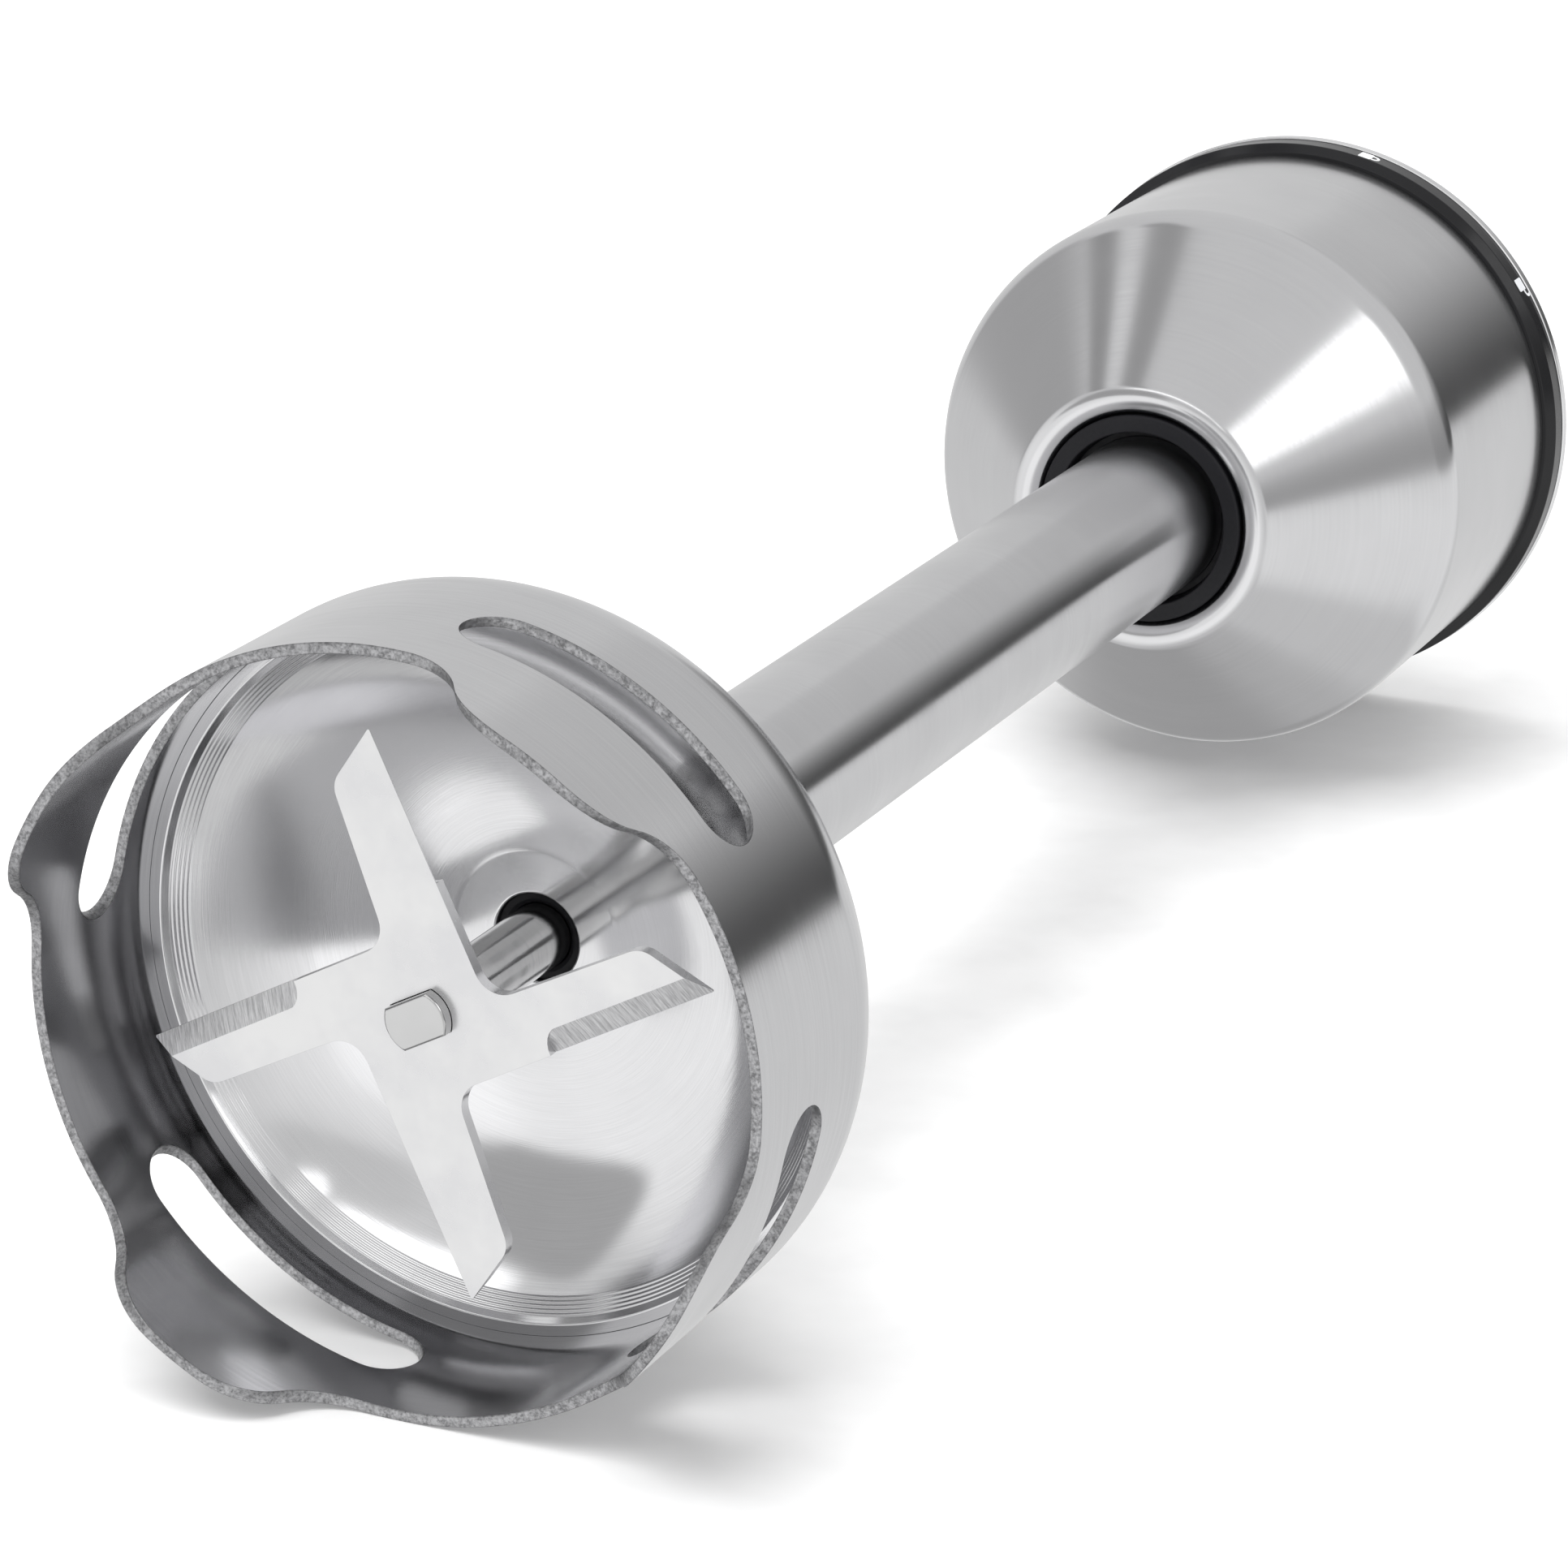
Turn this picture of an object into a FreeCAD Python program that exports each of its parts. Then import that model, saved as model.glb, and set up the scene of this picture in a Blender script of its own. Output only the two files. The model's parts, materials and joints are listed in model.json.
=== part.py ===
import FreeCAD, Part
import math
import os
import re

import Sketcher
from FreeCAD import Placement, Rotation, Vector

# Detachable blending shaft of an immersion blender, in millimetres.
# Every piece is drawn about its own Z axis, with "station" the distance along that axis
# from the feet of the blade guard. One placement then lays the shaft down along +Y, with
# the guard's mouth towards -Y, +Z up, and the origin at the centre of the coupling's rear.

doc = FreeCAD.newDocument("blending_shaft")

DIMENSIONS = {
    # whole shaft
    "total_length": 233.0,
    # blade guard
    "guard_radius": 35.0,
    "guard_wall": 1.0,
    "dome_edge": 32.5,          # station where the wall and the dome's outer cone would meet
    "dome_rise": 0.364,         # rise of the dome's cone for each millimetre inwards
    "dome_round": 9.0,
    "collar_radius": 10.0,
    "collar_end": 52.0,
    "collar_round": 4.0,
    "valley_depth": 6.9,
    "valley_half": 17.0,        # half width of a valley, half way up its flank
    "flank_round": 6.5,
    "slot_low": 12.6,
    "slot_high": 19.8,
    "slot_half": 15.1,
    # guard floor
    "floor_sheet": 0.85,
    "bowl_rise": 0.884,         # slope of the bowl at its rim
    "bowl_round": 30.0,
    "floor_rim_radius": 32.4,
    "floor_rim_station": 25.43,
    "floor_land": 24.8,
    "floor_flange_end": 26.2,
    "floor_flange_run": 1.2,    # radial length of the flange that sits on the wall
    "floor_lip": 0.5,
    "hub_mouth": 4.1,
    "mouth_station": 34.3,
    "mouth_collar": 4.9,
    "mouth_collar_end": 38.0,
    # lower bearing
    "hub_flange": 12.0,
    "hub_front": 36.5,
    "hub_step": 38.5,
    "hub_end": 60.0,
    "seal_radius": 5.5,
    "seal_lip_front": 34.9,
    "seal_end": 42.0,
    "seal_chamfer": 0.3,
    "seal_land": 0.1,
    "bush_radius": 6.0,
    "bush_end": 58.0,
    "middle_bush_low": 112.0,
    "middle_bush_high": 124.0,
    "running_fit": 0.05,
    # tube and liner
    "tube_radius": 9.0,
    "tube_bore": 8.2,
    "tube_start": 41.0,
    "tube_end": 196.0,
    "liner_end": 178.0,
    # neck seal
    "neck_radius": 11.9,
    "neck_face": 179.2,
    "neck_lip": 181.5,          # floor of the gap between the seal and the tube
    "neck_bore": 9.95,
    "neck_taper": 0.2,
    "neck_chamfer": 0.3,
    "neck_flange": 13.6,
    "neck_flange_low": 182.0,
    "neck_flange_high": 186.0,
    # coupling shell
    "shell_radius": 31.3,
    "shell_wall": 0.9,
    "shell_nose": 175.7,        # station where the cone would meet the nose bore
    "shell_rise": 1.0355,
    "shell_round": 4.9,
    "nose_round": 2.0,
    "nose_return": 182.0,
    "shell_end": 228.2,
    # coupling core and socket
    "socket_radius": 25.0,
    "socket_floor": 213.0,
    "core_step": 28.8,
    "core_step_station": 220.0,
    "core_boss": 17.0,
    "core_rim_bore": 27.5,
    "core_web_low": 206.0,
    "core_skirt": 6.0,          # depth of the flange that grips the shell
    "core_skirt_chamfer": 2.0,
    "core_flare": 4.0,
    "tube_seat": 1.5,           # land that the end of the tube stands on
    "rib_width": 1.6,
    "rib_inset": 1.0,           # how far the ribs stop short of the flange's end
    "relief_radius": 25.6,
    "relief_high": 219.0,
    "bayonet_depth": 1.6,
    "bayonet_width": 7.0,
    "bayonet_high": 217.5,
    "gasket_gap": 0.6,
    "gasket_width": 2.8,
    "gasket_sheet": 1.5,
    # lock ring and rear trim
    "ring_radius": 32.6,
    "ring_end": 231.5,
    "trim_radius": 32.8,
    "ring_lip": 0.4,
    "ring_chamfer": 0.9,
    "trim_chamfer": 0.5,
    # ball bearing, 6 x 19 x 6
    "bearing_low": 197.0,
    "bearing_width": 6.0,
    "bearing_radius": 9.5,
    "race_inner": 7.3,
    "race_outer": 5.1,
    "ball_pitch": 6.2,
    "ball_radius": 1.65,
    "ball_play": 0.05,
    "cage_sheet": 1.2,
    "cage_inset": 0.7,
    "groove_radius": 1.72,
    "ball_count": 6,
    "retainer_radius": 14.5,
    "retainer_bore": 7.6,
    "retainer_sheet": 1.5,
    # drive shaft and what is fixed to it
    "shaft_radius": 3.0,
    "shaft_end": 212.0,
    "tenon_flats": 4.0,
    "tenon_front": 11.9,
    "circlip_radius": 4.6,
    "circlip_sheet": 0.8,
    "washer_radius": 5.5,
    "washer_gap": 0.1,
    "washer_sheet": 0.8,
    "driver_radius": 7.0,
    "driver_low": 205.0,
    "driver_high": 216.0,
    "driver_socket_low": 212.0,
    "driver_socket_radius": 3.6,
    "driver_key_length": 9.6,
    "driver_key_width": 2.2,
    "driver_chamfer": 0.6,
    "driver_mouth_chamfer": 0.8,
    "pin_radius": 1.0,
    "pin_length": 13.0,
    "pin_station": 208.5,
    # cross blade
    "blade_front": 13.1,
    "blade_sheet": 1.2,
    "blade_root_round": 2.6,
    "blade_corner_round": 2.2,
    "bevel_width": 2.1,
    "bevel_start": 12.0,
    "edge_land": 0.12,
    # screws
    "ring_screw_tip": 220.5,
    "retainer_screw_tip": 198.0,
    "shank_radius": 1.0,
    "head_radius": 1.7,
    "head_sink": 1.8,           # depth of the counterbores in the lock ring
    "head_height": 1.4,
    "recess_length": 2.0,
    "recess_width": 0.5,
    "recess_depth": 0.7,
    # construction
    "cut_past": 1.0,            # how far a tool runs past the faces it cuts
    "merge": 0.5,               # how far fused shapes run into each other
}

GUARD_TURN = -14.0       # puts the guard's feet 31 degrees from the local X axis
BLADE_TURN = -99.75      # direction of the blade's first arm
FLATS_TURN = -27.9       # direction of the flats on the tenon
FEET = 4
SCREWS = 3
LUG_PAIRS = 3
LUG_START = 15.0
RIB_PAIRS = 3
KEY_BARS = 3
RING_SCREW_PITCH = 26.9
RING_SCREW_START = 15.0
RETAINER_SCREW_PITCH = 12.2
RETAINER_SCREW_START = 75.0
WEDGE_RUN = 6.0          # how far the grinding wedge runs past the tip of an arm

# The two shapes of blade arm, as (along the arm, across it) for the corner on the blunt
# side, the tip, and the root that the sharp edge runs back to.
LONG_ARM = ((22.28, -6.10), (28.0, -1.9), (2.05, 6.71))
SHORT_ARM = ((21.0, -4.58), (25.8, 0.0), (1.36, 6.83))

sheet = doc.addObject("Spreadsheet::Sheet", "Dims")
for row, (alias, value) in enumerate(DIMENSIONS.items(), start=1):
    sheet.set(f"A{row}", alias)
    sheet.set(f"B{row}", str(value))
    sheet.setAlias(f"B{row}", alias)
doc.recompute()

nodes = []


def formula(text):
    """Full expression for a size written with bare aliases, such as 'tube_radius + 1'."""
    return re.sub(r"[a-z_]+", lambda m: f"Dims.{m[0]}" if m[0] in DIMENSIONS else m[0], text)


def number(text):
    """Present value of such an expression."""
    return float(sheet.evalExpression(formula(str(text))))


def bind(thing, prop, text):
    thing.setExpression(prop, formula(str(text)))


def origin_plane(body, role):
    return next(f for f in body.Origin.OriginFeatures if f.Role == role)


def new_body(name):
    return doc.addObject("PartDesign::Body", name)


def new_sketch(body, name, role="XZ_Plane", offset=None):
    sketch = body.newObject("Sketcher::SketchObject", name)
    sketch.AttachmentSupport = [(origin_plane(body, role), "")]
    sketch.MapMode = "FlatFace"
    if offset:
        sketch.AttachmentOffset = offset
    return sketch


def pin_point(sketch, geometry, end, place, tag):
    """Fixes a sketch point at (x, y), each of them an expression on the sheet."""
    for kind, axis, text in (("DistanceX", -2, place[0]), ("DistanceY", -1, place[1])):
        value = number(text)
        if abs(value) < 1e-9:
            sketch.addConstraint(Sketcher.Constraint("PointOnObject", geometry, end, axis))
            continue
        ends = (-1, 1, geometry, end) if value > 0 else (geometry, end, -1, 1)
        index = sketch.addConstraint(Sketcher.Constraint(kind, *ends, abs(value)))
        name = f"{kind[-1].lower()}_{tag}"
        sketch.renameConstraint(index, name)
        bind(sketch, f"Constraints.{name}", text if value > 0 else f"-({text})")


def outline(sketch, corners):
    """Closed run of straight lines through corners given as expressions."""
    points = [Vector(number(x), number(y), 0) for x, y in corners]
    count = len(points)
    for i in range(count):
        sketch.addGeometry(Part.LineSegment(points[i], points[(i + 1) % count]), False)
    for i in range(count):
        sketch.addConstraint(Sketcher.Constraint("Coincident", i, 2, (i + 1) % count, 1))
    for i, corner in enumerate(corners):
        pin_point(sketch, i, 1, corner, i)


def revolve(body, corners):
    """Turned solid from half a section, given as (radius, station) corners."""
    sketch = new_sketch(body, f"{body.Name}_section")
    outline(sketch, corners)
    turn = body.newObject("PartDesign::Revolution", f"{body.Name}_turned")
    turn.Profile = sketch
    turn.ReferenceAxis = (sketch, ["V_Axis"])
    turn.Angle = 360.0
    doc.recompute()
    return turn


def round_rings(body, base, radius, rings):
    """Fillets the circular edges at the given (radius, station) corners."""
    wanted = [(number(r), number(z)) for r, z in rings]
    names = []
    for index, edge in enumerate(base.Shape.Edges, start=1):
        if not isinstance(edge.Curve, Part.Circle):
            continue
        ring, station = edge.Curve.Radius, edge.Curve.Center.z
        if any(abs(ring - r) < 0.01 and abs(station - z) < 0.01 for r, z in wanted):
            names.append(f"Edge{index}")
    if len(names) < len(wanted):
        raise RuntimeError(f"{body.Name}: a ring to round is missing")
    fillet = body.newObject("PartDesign::Fillet", f"{body.Name}_round{len(body.Group)}")
    fillet.Base = (base, names)
    bind(fillet, "Radius", radius)
    doc.recompute()
    return fillet


def laid(turn=0.0):
    """Placement of a piece drawn about Z on the shaft that lies along +Y."""
    down = Placement(Vector(0, -number("total_length"), 0), Rotation(Vector(1, 0, 0), -90))
    return down * Placement(Vector(), Rotation(Vector(0, 0, 1), turn))


def keep(thing, label, turn=0.0):
    """Names a finished sub-part and lays it in place."""
    thing.Label = label
    thing.Placement = laid(turn)
    nodes.append(thing)
    return thing


def turned(label, corners, rounds=()):
    body = new_body(f"{label}_body")
    last = revolve(body, corners)
    for radius, rings in rounds:
        last = round_rings(body, last, radius, rings)
    body.Tip = last
    return body


def cylinder(name, radius, low, high, place=(0, 0)):
    rod = doc.addObject("Part::Cylinder", name)
    bind(rod, "Radius", radius)
    bind(rod, "Height", f"({high}) - ({low})")
    rod.Placement.Base = Vector(place[0], place[1], number(low))
    bind(rod, "Placement.Base.z", low)
    return rod


def tube(name, outer, inner, low, high):
    return cut(name, cylinder(f"{name}_outer", outer, low, high),
               cylinder(f"{name}_inner", inner, f"{low} - cut_past", f"{high} + cut_past"))


def cut(name, base, tool):
    result = doc.addObject("Part::Cut", name)
    result.Base = base
    result.Tool = tool
    return result


def fuse(name, shapes):
    result = doc.addObject("Part::MultiFuse", name)
    result.Shapes = shapes
    return result


def common(name, first, second):
    result = doc.addObject("Part::MultiCommon", name)
    result.Shapes = [first, second]
    return result


def group(name, shapes):
    result = doc.addObject("Part::Compound", name)
    result.Links = shapes
    return result


def bar(name, length, width, low, high, turn=0.0):
    """Box centred on the axis, its length along the given direction."""
    box = doc.addObject("Part::Box", name)
    bind(box, "Length", length)
    bind(box, "Width", width)
    bind(box, "Height", f"({high}) - ({low})")
    corner = Vector(-number(length) / 2, -number(width) / 2, 0)
    spin = Rotation(Vector(0, 0, 1), turn)
    box.Placement = Placement(spin.multVec(corner) + Vector(0, 0, number(low)), spin)
    return box


def ring_places(count, pitch, start=0.0):
    turns = [math.radians(start + 360.0 * i / count) for i in range(count)]
    return [(pitch * math.cos(a), pitch * math.sin(a)) for a in turns]


# ---------------------------------------------------------------- blade guard

def dome(radius, inner=False):
    """Station of the dome's cone at a radius, on its outside or its inside."""
    outside = f"dome_edge + (guard_radius - ({radius})) * dome_rise"
    return f"{outside} - guard_wall * sqrt(1 + dome_rise^2)" if inner else outside


def valley_outline(sketch):
    """Valley of the scalloped rim: a flat floor and two flanks, each a pair of arcs."""
    depth, half, round_ = number("valley_depth"), number("valley_half"), number("flank_round")
    reach = math.sqrt(2 * round_ * depth / 2 - (depth / 2) ** 2)
    for index, side in enumerate((-1, 1)):
        crest = Vector(side * (half + reach), 0, 0)
        middle = Vector(side * half, depth / 2, 0)
        foot = Vector(side * (half - reach), depth, 0)
        lean = math.asin(reach / round_) / 2
        low_mid = crest + Vector(-side * round_ * math.sin(lean), round_ * (1 - math.cos(lean)), 0)
        high_mid = foot + Vector(side * round_ * math.sin(lean), -round_ * (1 - math.cos(lean)), 0)
        sketch.addGeometry(Part.Arc(crest, low_mid, middle), False)
        sketch.addGeometry(Part.Arc(middle, high_mid, foot), False)
        if index == 0:
            left_crest, left_foot = crest, foot
    below = -3.0
    corners = [left_crest, Vector(left_crest.x, below, 0), Vector(crest.x, below, 0), crest]
    for start, end in zip(corners, corners[1:]):
        sketch.addGeometry(Part.LineSegment(start, end), False)
    sketch.addGeometry(Part.LineSegment(left_foot, foot), False)
    for index in range(sketch.GeometryCount):
        sketch.addConstraint(Sketcher.Constraint("Block", index))


def slot_outline(sketch):
    """Slot with full-round ends, centred on a foot."""
    low, high, half = number("slot_low"), number("slot_high"), number("slot_half")
    radius = (high - low) / 2
    middle = (low + high) / 2
    straight = half - radius
    sketch.addGeometry(Part.LineSegment(Vector(-straight, low, 0), Vector(straight, low, 0)), False)
    sketch.addGeometry(Part.Arc(Vector(straight, low, 0), Vector(half, middle, 0),
                                Vector(straight, high, 0)), False)
    sketch.addGeometry(Part.LineSegment(Vector(straight, high, 0), Vector(-straight, high, 0)), False)
    sketch.addGeometry(Part.Arc(Vector(-straight, high, 0), Vector(-half, middle, 0),
                                Vector(-straight, low, 0)), False)
    for index in range(sketch.GeometryCount):
        sketch.addConstraint(Sketcher.Constraint("Block", index))


def cut_round(body, sketch, name):
    """Pockets a sketch outwards through the guard's wall, once for each foot."""
    before = body.Tip.Shape.Volume
    pocket = body.newObject("PartDesign::Pocket", name)
    pocket.Profile = sketch
    pocket.Type = 1
    pocket.Reversed = True
    doc.recompute()
    if pocket.Shape.Volume > before - 1.0:
        raise RuntimeError(f"{name} cuts nothing")
    pattern = body.newObject("PartDesign::PolarPattern", f"{name}_all")
    pattern.Originals = [pocket]
    pattern.Axis = (origin_axis(body), [""])
    pattern.Angle = 360.0
    pattern.Occurrences = FEET
    body.Tip = pattern
    doc.recompute()
    return pattern


def origin_axis(body, role="Z_Axis"):
    return next(f for f in body.Origin.OriginFeatures if f.Role == role)


def blade_guard():
    inner_wall = "guard_radius - guard_wall"
    inner_collar = "collar_radius - guard_wall"
    corners = [
        ("guard_radius", "0"), ("guard_radius", "dome_edge"),
        ("collar_radius", dome("collar_radius")), ("collar_radius", "collar_end"),
        (inner_collar, "collar_end"), (inner_collar, dome(inner_collar, True)),
        (inner_wall, dome(inner_wall, True)), (inner_wall, "0"),
    ]
    body = turned("bell_guard", corners, [
        ("dome_round", [corners[1]]),
        ("dome_round - guard_wall", [corners[6]]),
        ("collar_round", [corners[2]]),
        ("collar_round + guard_wall", [corners[5]]),
    ])
    valley = new_sketch(body, "rim_valley", "YZ_Plane")
    valley_outline(valley)
    cut_round(body, valley, "rim_valleys")
    foot_turn = Placement(Vector(), Rotation(Vector(0, 1, 0), 180.0 / FEET))
    slot = new_sketch(body, "wall_slot", "YZ_Plane", foot_turn)
    slot_outline(slot)
    cut_round(body, slot, "wall_slots")
    keep(body, "bell_guard", GUARD_TURN)


def guard_floor():
    """Pressed bowl, flat about its mouth and steeper towards its rim."""
    wall = "guard_radius - guard_wall"
    stretch = "sqrt(1 + bowl_rise * bowl_rise)"
    corner = "floor_rim_radius - (mouth_station - floor_rim_station) / bowl_rise"
    back_corner = f"{corner} + floor_sheet * ({stretch} - 1) / bowl_rise"
    back_radius = f"{wall} - floor_flange_run"
    back = (f"floor_rim_station - ({back_radius} - floor_rim_radius) * bowl_rise"
            f" + floor_sheet * {stretch}")
    corners = [
        ("hub_mouth", "mouth_station"), (corner, "mouth_station"),
        ("floor_rim_radius", "floor_rim_station"),
        ("floor_rim_radius + floor_lip", "floor_land"), (wall, "floor_land"),
        (wall, "floor_flange_end"), (back_radius, back),
        (back_corner, "mouth_station + floor_sheet"),
        ("mouth_collar", "mouth_station + floor_sheet"), ("mouth_collar", "mouth_collar_end"),
        ("hub_mouth", "mouth_collar_end"),
    ]
    keep(turned("bell_floor", corners, [
        ("bowl_round", [corners[1]]), ("bowl_round + floor_sheet", [corners[7]]),
    ]), "bell_floor")


# ---------------------------------------------------------------- lower bearing and tube

def lower_bearing():
    keep(turned("bearing_hub", [
        ("mouth_collar", "hub_front"), ("hub_flange", "hub_front"), ("hub_flange", "hub_step"),
        ("tube_bore", "hub_step"), ("tube_bore", "hub_end"), ("bush_radius", "hub_end"),
        ("bush_radius", "seal_end"), ("seal_radius", "seal_end"),
        ("seal_radius", "mouth_collar_end"), ("mouth_collar", "mouth_collar_end"),
    ]), "bearing_hub")
    lip = "shaft_radius + running_fit"
    keep(turned("shaft_lip_seal", [
        (lip, "seal_lip_front + seal_chamfer"),
        ("shaft_radius + seal_chamfer + seal_land", "seal_lip_front"),
        ("hub_mouth", "seal_lip_front"), ("hub_mouth", "mouth_collar_end"),
        ("seal_radius", "mouth_collar_end"), ("seal_radius", "seal_end"), (lip, "seal_end"),
    ]), "shaft_lip_seal")
    keep(tube("lower_bush", "bush_radius", lip, "seal_end", "bush_end"), "lower_bush")
    keep(tube("middle_bush", "bush_radius", lip, "middle_bush_low", "middle_bush_high"),
         "middle_bush")


def tube_and_liner():
    keep(tube("outer_tube", "tube_radius", "tube_bore", "tube_start", "tube_end"), "outer_tube")
    keep(tube("shaft_liner", "tube_bore", "bush_radius", "hub_end", "liner_end"), "shaft_liner")


# ---------------------------------------------------------------- coupling

def shell_cone(radius, inner=False):
    """Station of the shell's cone at a radius, on its outside or its inside."""
    outside = f"shell_nose + (({radius}) - neck_radius) * shell_rise"
    return f"{outside} + shell_wall * sqrt(1 + shell_rise^2)" if inner else outside


def coupling_shell():
    bore = "shell_radius - shell_wall"
    lip = "neck_radius + shell_wall"
    corners = [
        ("neck_radius", "shell_nose"), ("shell_radius", shell_cone("shell_radius")),
        ("shell_radius", "shell_end"), (bore, "shell_end"), (bore, shell_cone(bore, True)),
        (lip, shell_cone(lip, True)), (lip, "nose_return"), ("neck_radius", "nose_return"),
    ]
    keep(turned("coupling_shell", corners, [
        ("nose_round", [corners[0]]), ("nose_round - shell_wall", [corners[5]]),
        ("shell_round", [corners[1]]), ("shell_round - shell_wall", [corners[4]]),
    ]), "coupling_shell")


def neck_seal():
    keep(turned("neck_seal", [
        ("tube_radius", "neck_lip"), ("neck_bore - neck_taper", "neck_lip"),
        ("neck_bore", "neck_face"), ("neck_radius - neck_chamfer", "neck_face"),
        ("neck_radius", "neck_face + neck_chamfer"), ("neck_radius", "neck_flange_low"),
        ("neck_flange", "neck_flange_low"), ("neck_flange", "neck_flange_high"),
        ("tube_radius", "neck_flange_high"),
    ]), "neck_seal")


def screw_holes(name, pitch, low, high, radius, start):
    rods = [cylinder(f"{name}_{i}", radius, low, high, place)
            for i, place in enumerate(ring_places(SCREWS, pitch, start))]
    return fuse(name, rods)


def coupling_core():
    bore = "shell_radius - shell_wall"
    seat_top = "bearing_low + bearing_width"
    rib_top = "core_web_low + merge"
    body = turned("coupling_core", [
        ("tube_radius", "neck_flange_high"), ("neck_flange", "neck_flange_high"),
        ("core_boss", "neck_flange_high + core_flare"), ("core_boss", "core_web_low"),
        ("core_rim_bore", "core_web_low"), ("core_rim_bore", "core_web_low - core_skirt"),
        (bore, "core_web_low - core_skirt + core_skirt_chamfer"), (bore, "core_step_station"),
        ("core_step", "core_step_station"), ("core_step", "shell_end"),
        ("socket_radius", "shell_end"), ("socket_radius", "relief_high"),
        ("relief_radius", "relief_high"), ("relief_radius", "socket_floor"),
        ("retainer_radius", "socket_floor"), ("retainer_radius", seat_top),
        ("bearing_radius", seat_top), ("bearing_radius", "bearing_low"),
        ("tube_radius - tube_seat", "bearing_low"), ("tube_radius - tube_seat", "tube_end"),
        ("tube_radius", "tube_end"),
    ])
    lugs = common("bayonet_lugs",
                  fuse("bayonet_bars", [bar(f"bayonet_bar_{i}", "2 * relief_radius + cut_past",
                                            "bayonet_width", "socket_floor", "bayonet_high",
                                            LUG_START + 180.0 * i / LUG_PAIRS)
                                        for i in range(LUG_PAIRS)]),
                  tube("bayonet_band", "relief_radius + merge", "socket_radius - bayonet_depth",
                       "socket_floor - merge", "bayonet_high + merge"))
    ribs = common("core_ribs",
                  fuse("rib_bars", [bar(f"rib_bar_{i}", "2 * core_rim_bore + cut_past", "rib_width",
                                        "core_web_low - core_skirt + rib_inset", rib_top,
                                        180.0 * i / RIB_PAIRS)
                                    for i in range(RIB_PAIRS)]),
                  tube("rib_band", "core_rim_bore + merge", "core_boss - merge",
                       "core_web_low - core_skirt", rib_top))
    solid = fuse("core_with_ribs", [body, lugs, ribs])
    holes = fuse("core_holes", [
        screw_holes("core_ring_holes", RING_SCREW_PITCH, "ring_screw_tip",
                    "shell_end + cut_past", "shank_radius", RING_SCREW_START),
        screw_holes("core_retainer_holes", RETAINER_SCREW_PITCH, "retainer_screw_tip",
                    f"{seat_top} + cut_past", "shank_radius", RETAINER_SCREW_START)])
    keep(cut("coupling_core", solid, holes), "coupling_core")


def lock_ring():
    bore = "shell_radius - shell_wall"
    body = turned("lock_ring", [
        ("core_step", "core_step_station"), (bore, "core_step_station"), (bore, "shell_end"),
        ("shell_radius + ring_lip", "shell_end"), ("ring_radius", "shell_end + ring_chamfer"),
        ("ring_radius", "ring_end"), ("socket_radius", "ring_end"),
        ("socket_radius", "shell_end"), ("core_step", "shell_end"),
    ])
    holes = fuse("lock_ring_holes", [
        screw_holes("ring_shank_holes", RING_SCREW_PITCH, "shell_end - cut_past", "ring_end - cut_past",
                    "shank_radius", RING_SCREW_START),
        screw_holes("ring_head_holes", RING_SCREW_PITCH, "ring_end - head_sink", "ring_end + cut_past",
                    "head_radius", RING_SCREW_START)])
    keep(cut("lock_ring", body, holes), "lock_ring")


def screws(name, pitch, start, low, seat, top):
    """Three identical screws: shank, head and a cross recess."""
    parts = []
    for i, place in enumerate(ring_places(SCREWS, pitch, start)):
        shank = cylinder(f"{name}_shank_{i}", "shank_radius", low, seat, place)
        head = cylinder(f"{name}_head_{i}", "head_radius", seat, top, place)
        recess = []
        for arm in range(2):
            slot = bar(f"{name}_recess_{i}_{arm}", "recess_length", "recess_width",
                       f"{top} - recess_depth", f"{top} + cut_past", 90.0 * arm)
            slot.Placement.Base = slot.Placement.Base + Vector(place[0], place[1], 0)
            recess.append(slot)
        solid = fuse(f"{name}_solid_{i}", [shank, head])
        parts.append(cut(f"{name}_{i}", solid, fuse(f"{name}_cross_{i}", recess)))
    keep(group(name, parts), name)


def rear_trim():
    keep(turned("rear_trim_ring", [
        ("socket_radius", "ring_end"), ("trim_radius", "ring_end"),
        ("trim_radius", "total_length - trim_chamfer"), ("trim_radius - trim_chamfer", "total_length"),
        ("socket_radius", "total_length"),
    ]), "rear_trim_ring")


def bearing_retainer():
    low = "bearing_low + bearing_width"
    plate = tube("retainer_plate", "retainer_radius", "retainer_bore", low,
                 f"{low} + retainer_sheet")
    holes = screw_holes("retainer_holes", RETAINER_SCREW_PITCH, f"{low} - cut_past",
                        f"{low} + retainer_sheet + cut_past", "shank_radius", RETAINER_SCREW_START)
    keep(cut("bearing_retainer", plate, holes), "bearing_retainer")
    screws("retainer_screws", RETAINER_SCREW_PITCH, RETAINER_SCREW_START, "retainer_screw_tip",
           f"{low} + retainer_sheet", f"{low} + retainer_sheet + head_height")


def socket_gasket():
    outer = "socket_radius - bayonet_depth - gasket_gap"
    keep(tube("socket_gasket", outer, f"{outer} - gasket_width", "socket_floor",
              "socket_floor + gasket_sheet"), "socket_gasket")


# ---------------------------------------------------------------- ball bearing

def ball(name, radius, place):
    sphere = doc.addObject("Part::Sphere", name)
    bind(sphere, "Radius", radius)
    middle = number("bearing_low + bearing_width / 2")
    sphere.Placement.Base = Vector(place[0], place[1], middle)
    return sphere


def groove(name):
    ring = doc.addObject("Part::Torus", name)
    bind(ring, "Radius1", "ball_pitch")
    bind(ring, "Radius2", "groove_radius")
    ring.Placement.Base = Vector(0, 0, number("bearing_low + bearing_width / 2"))
    return ring


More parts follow.
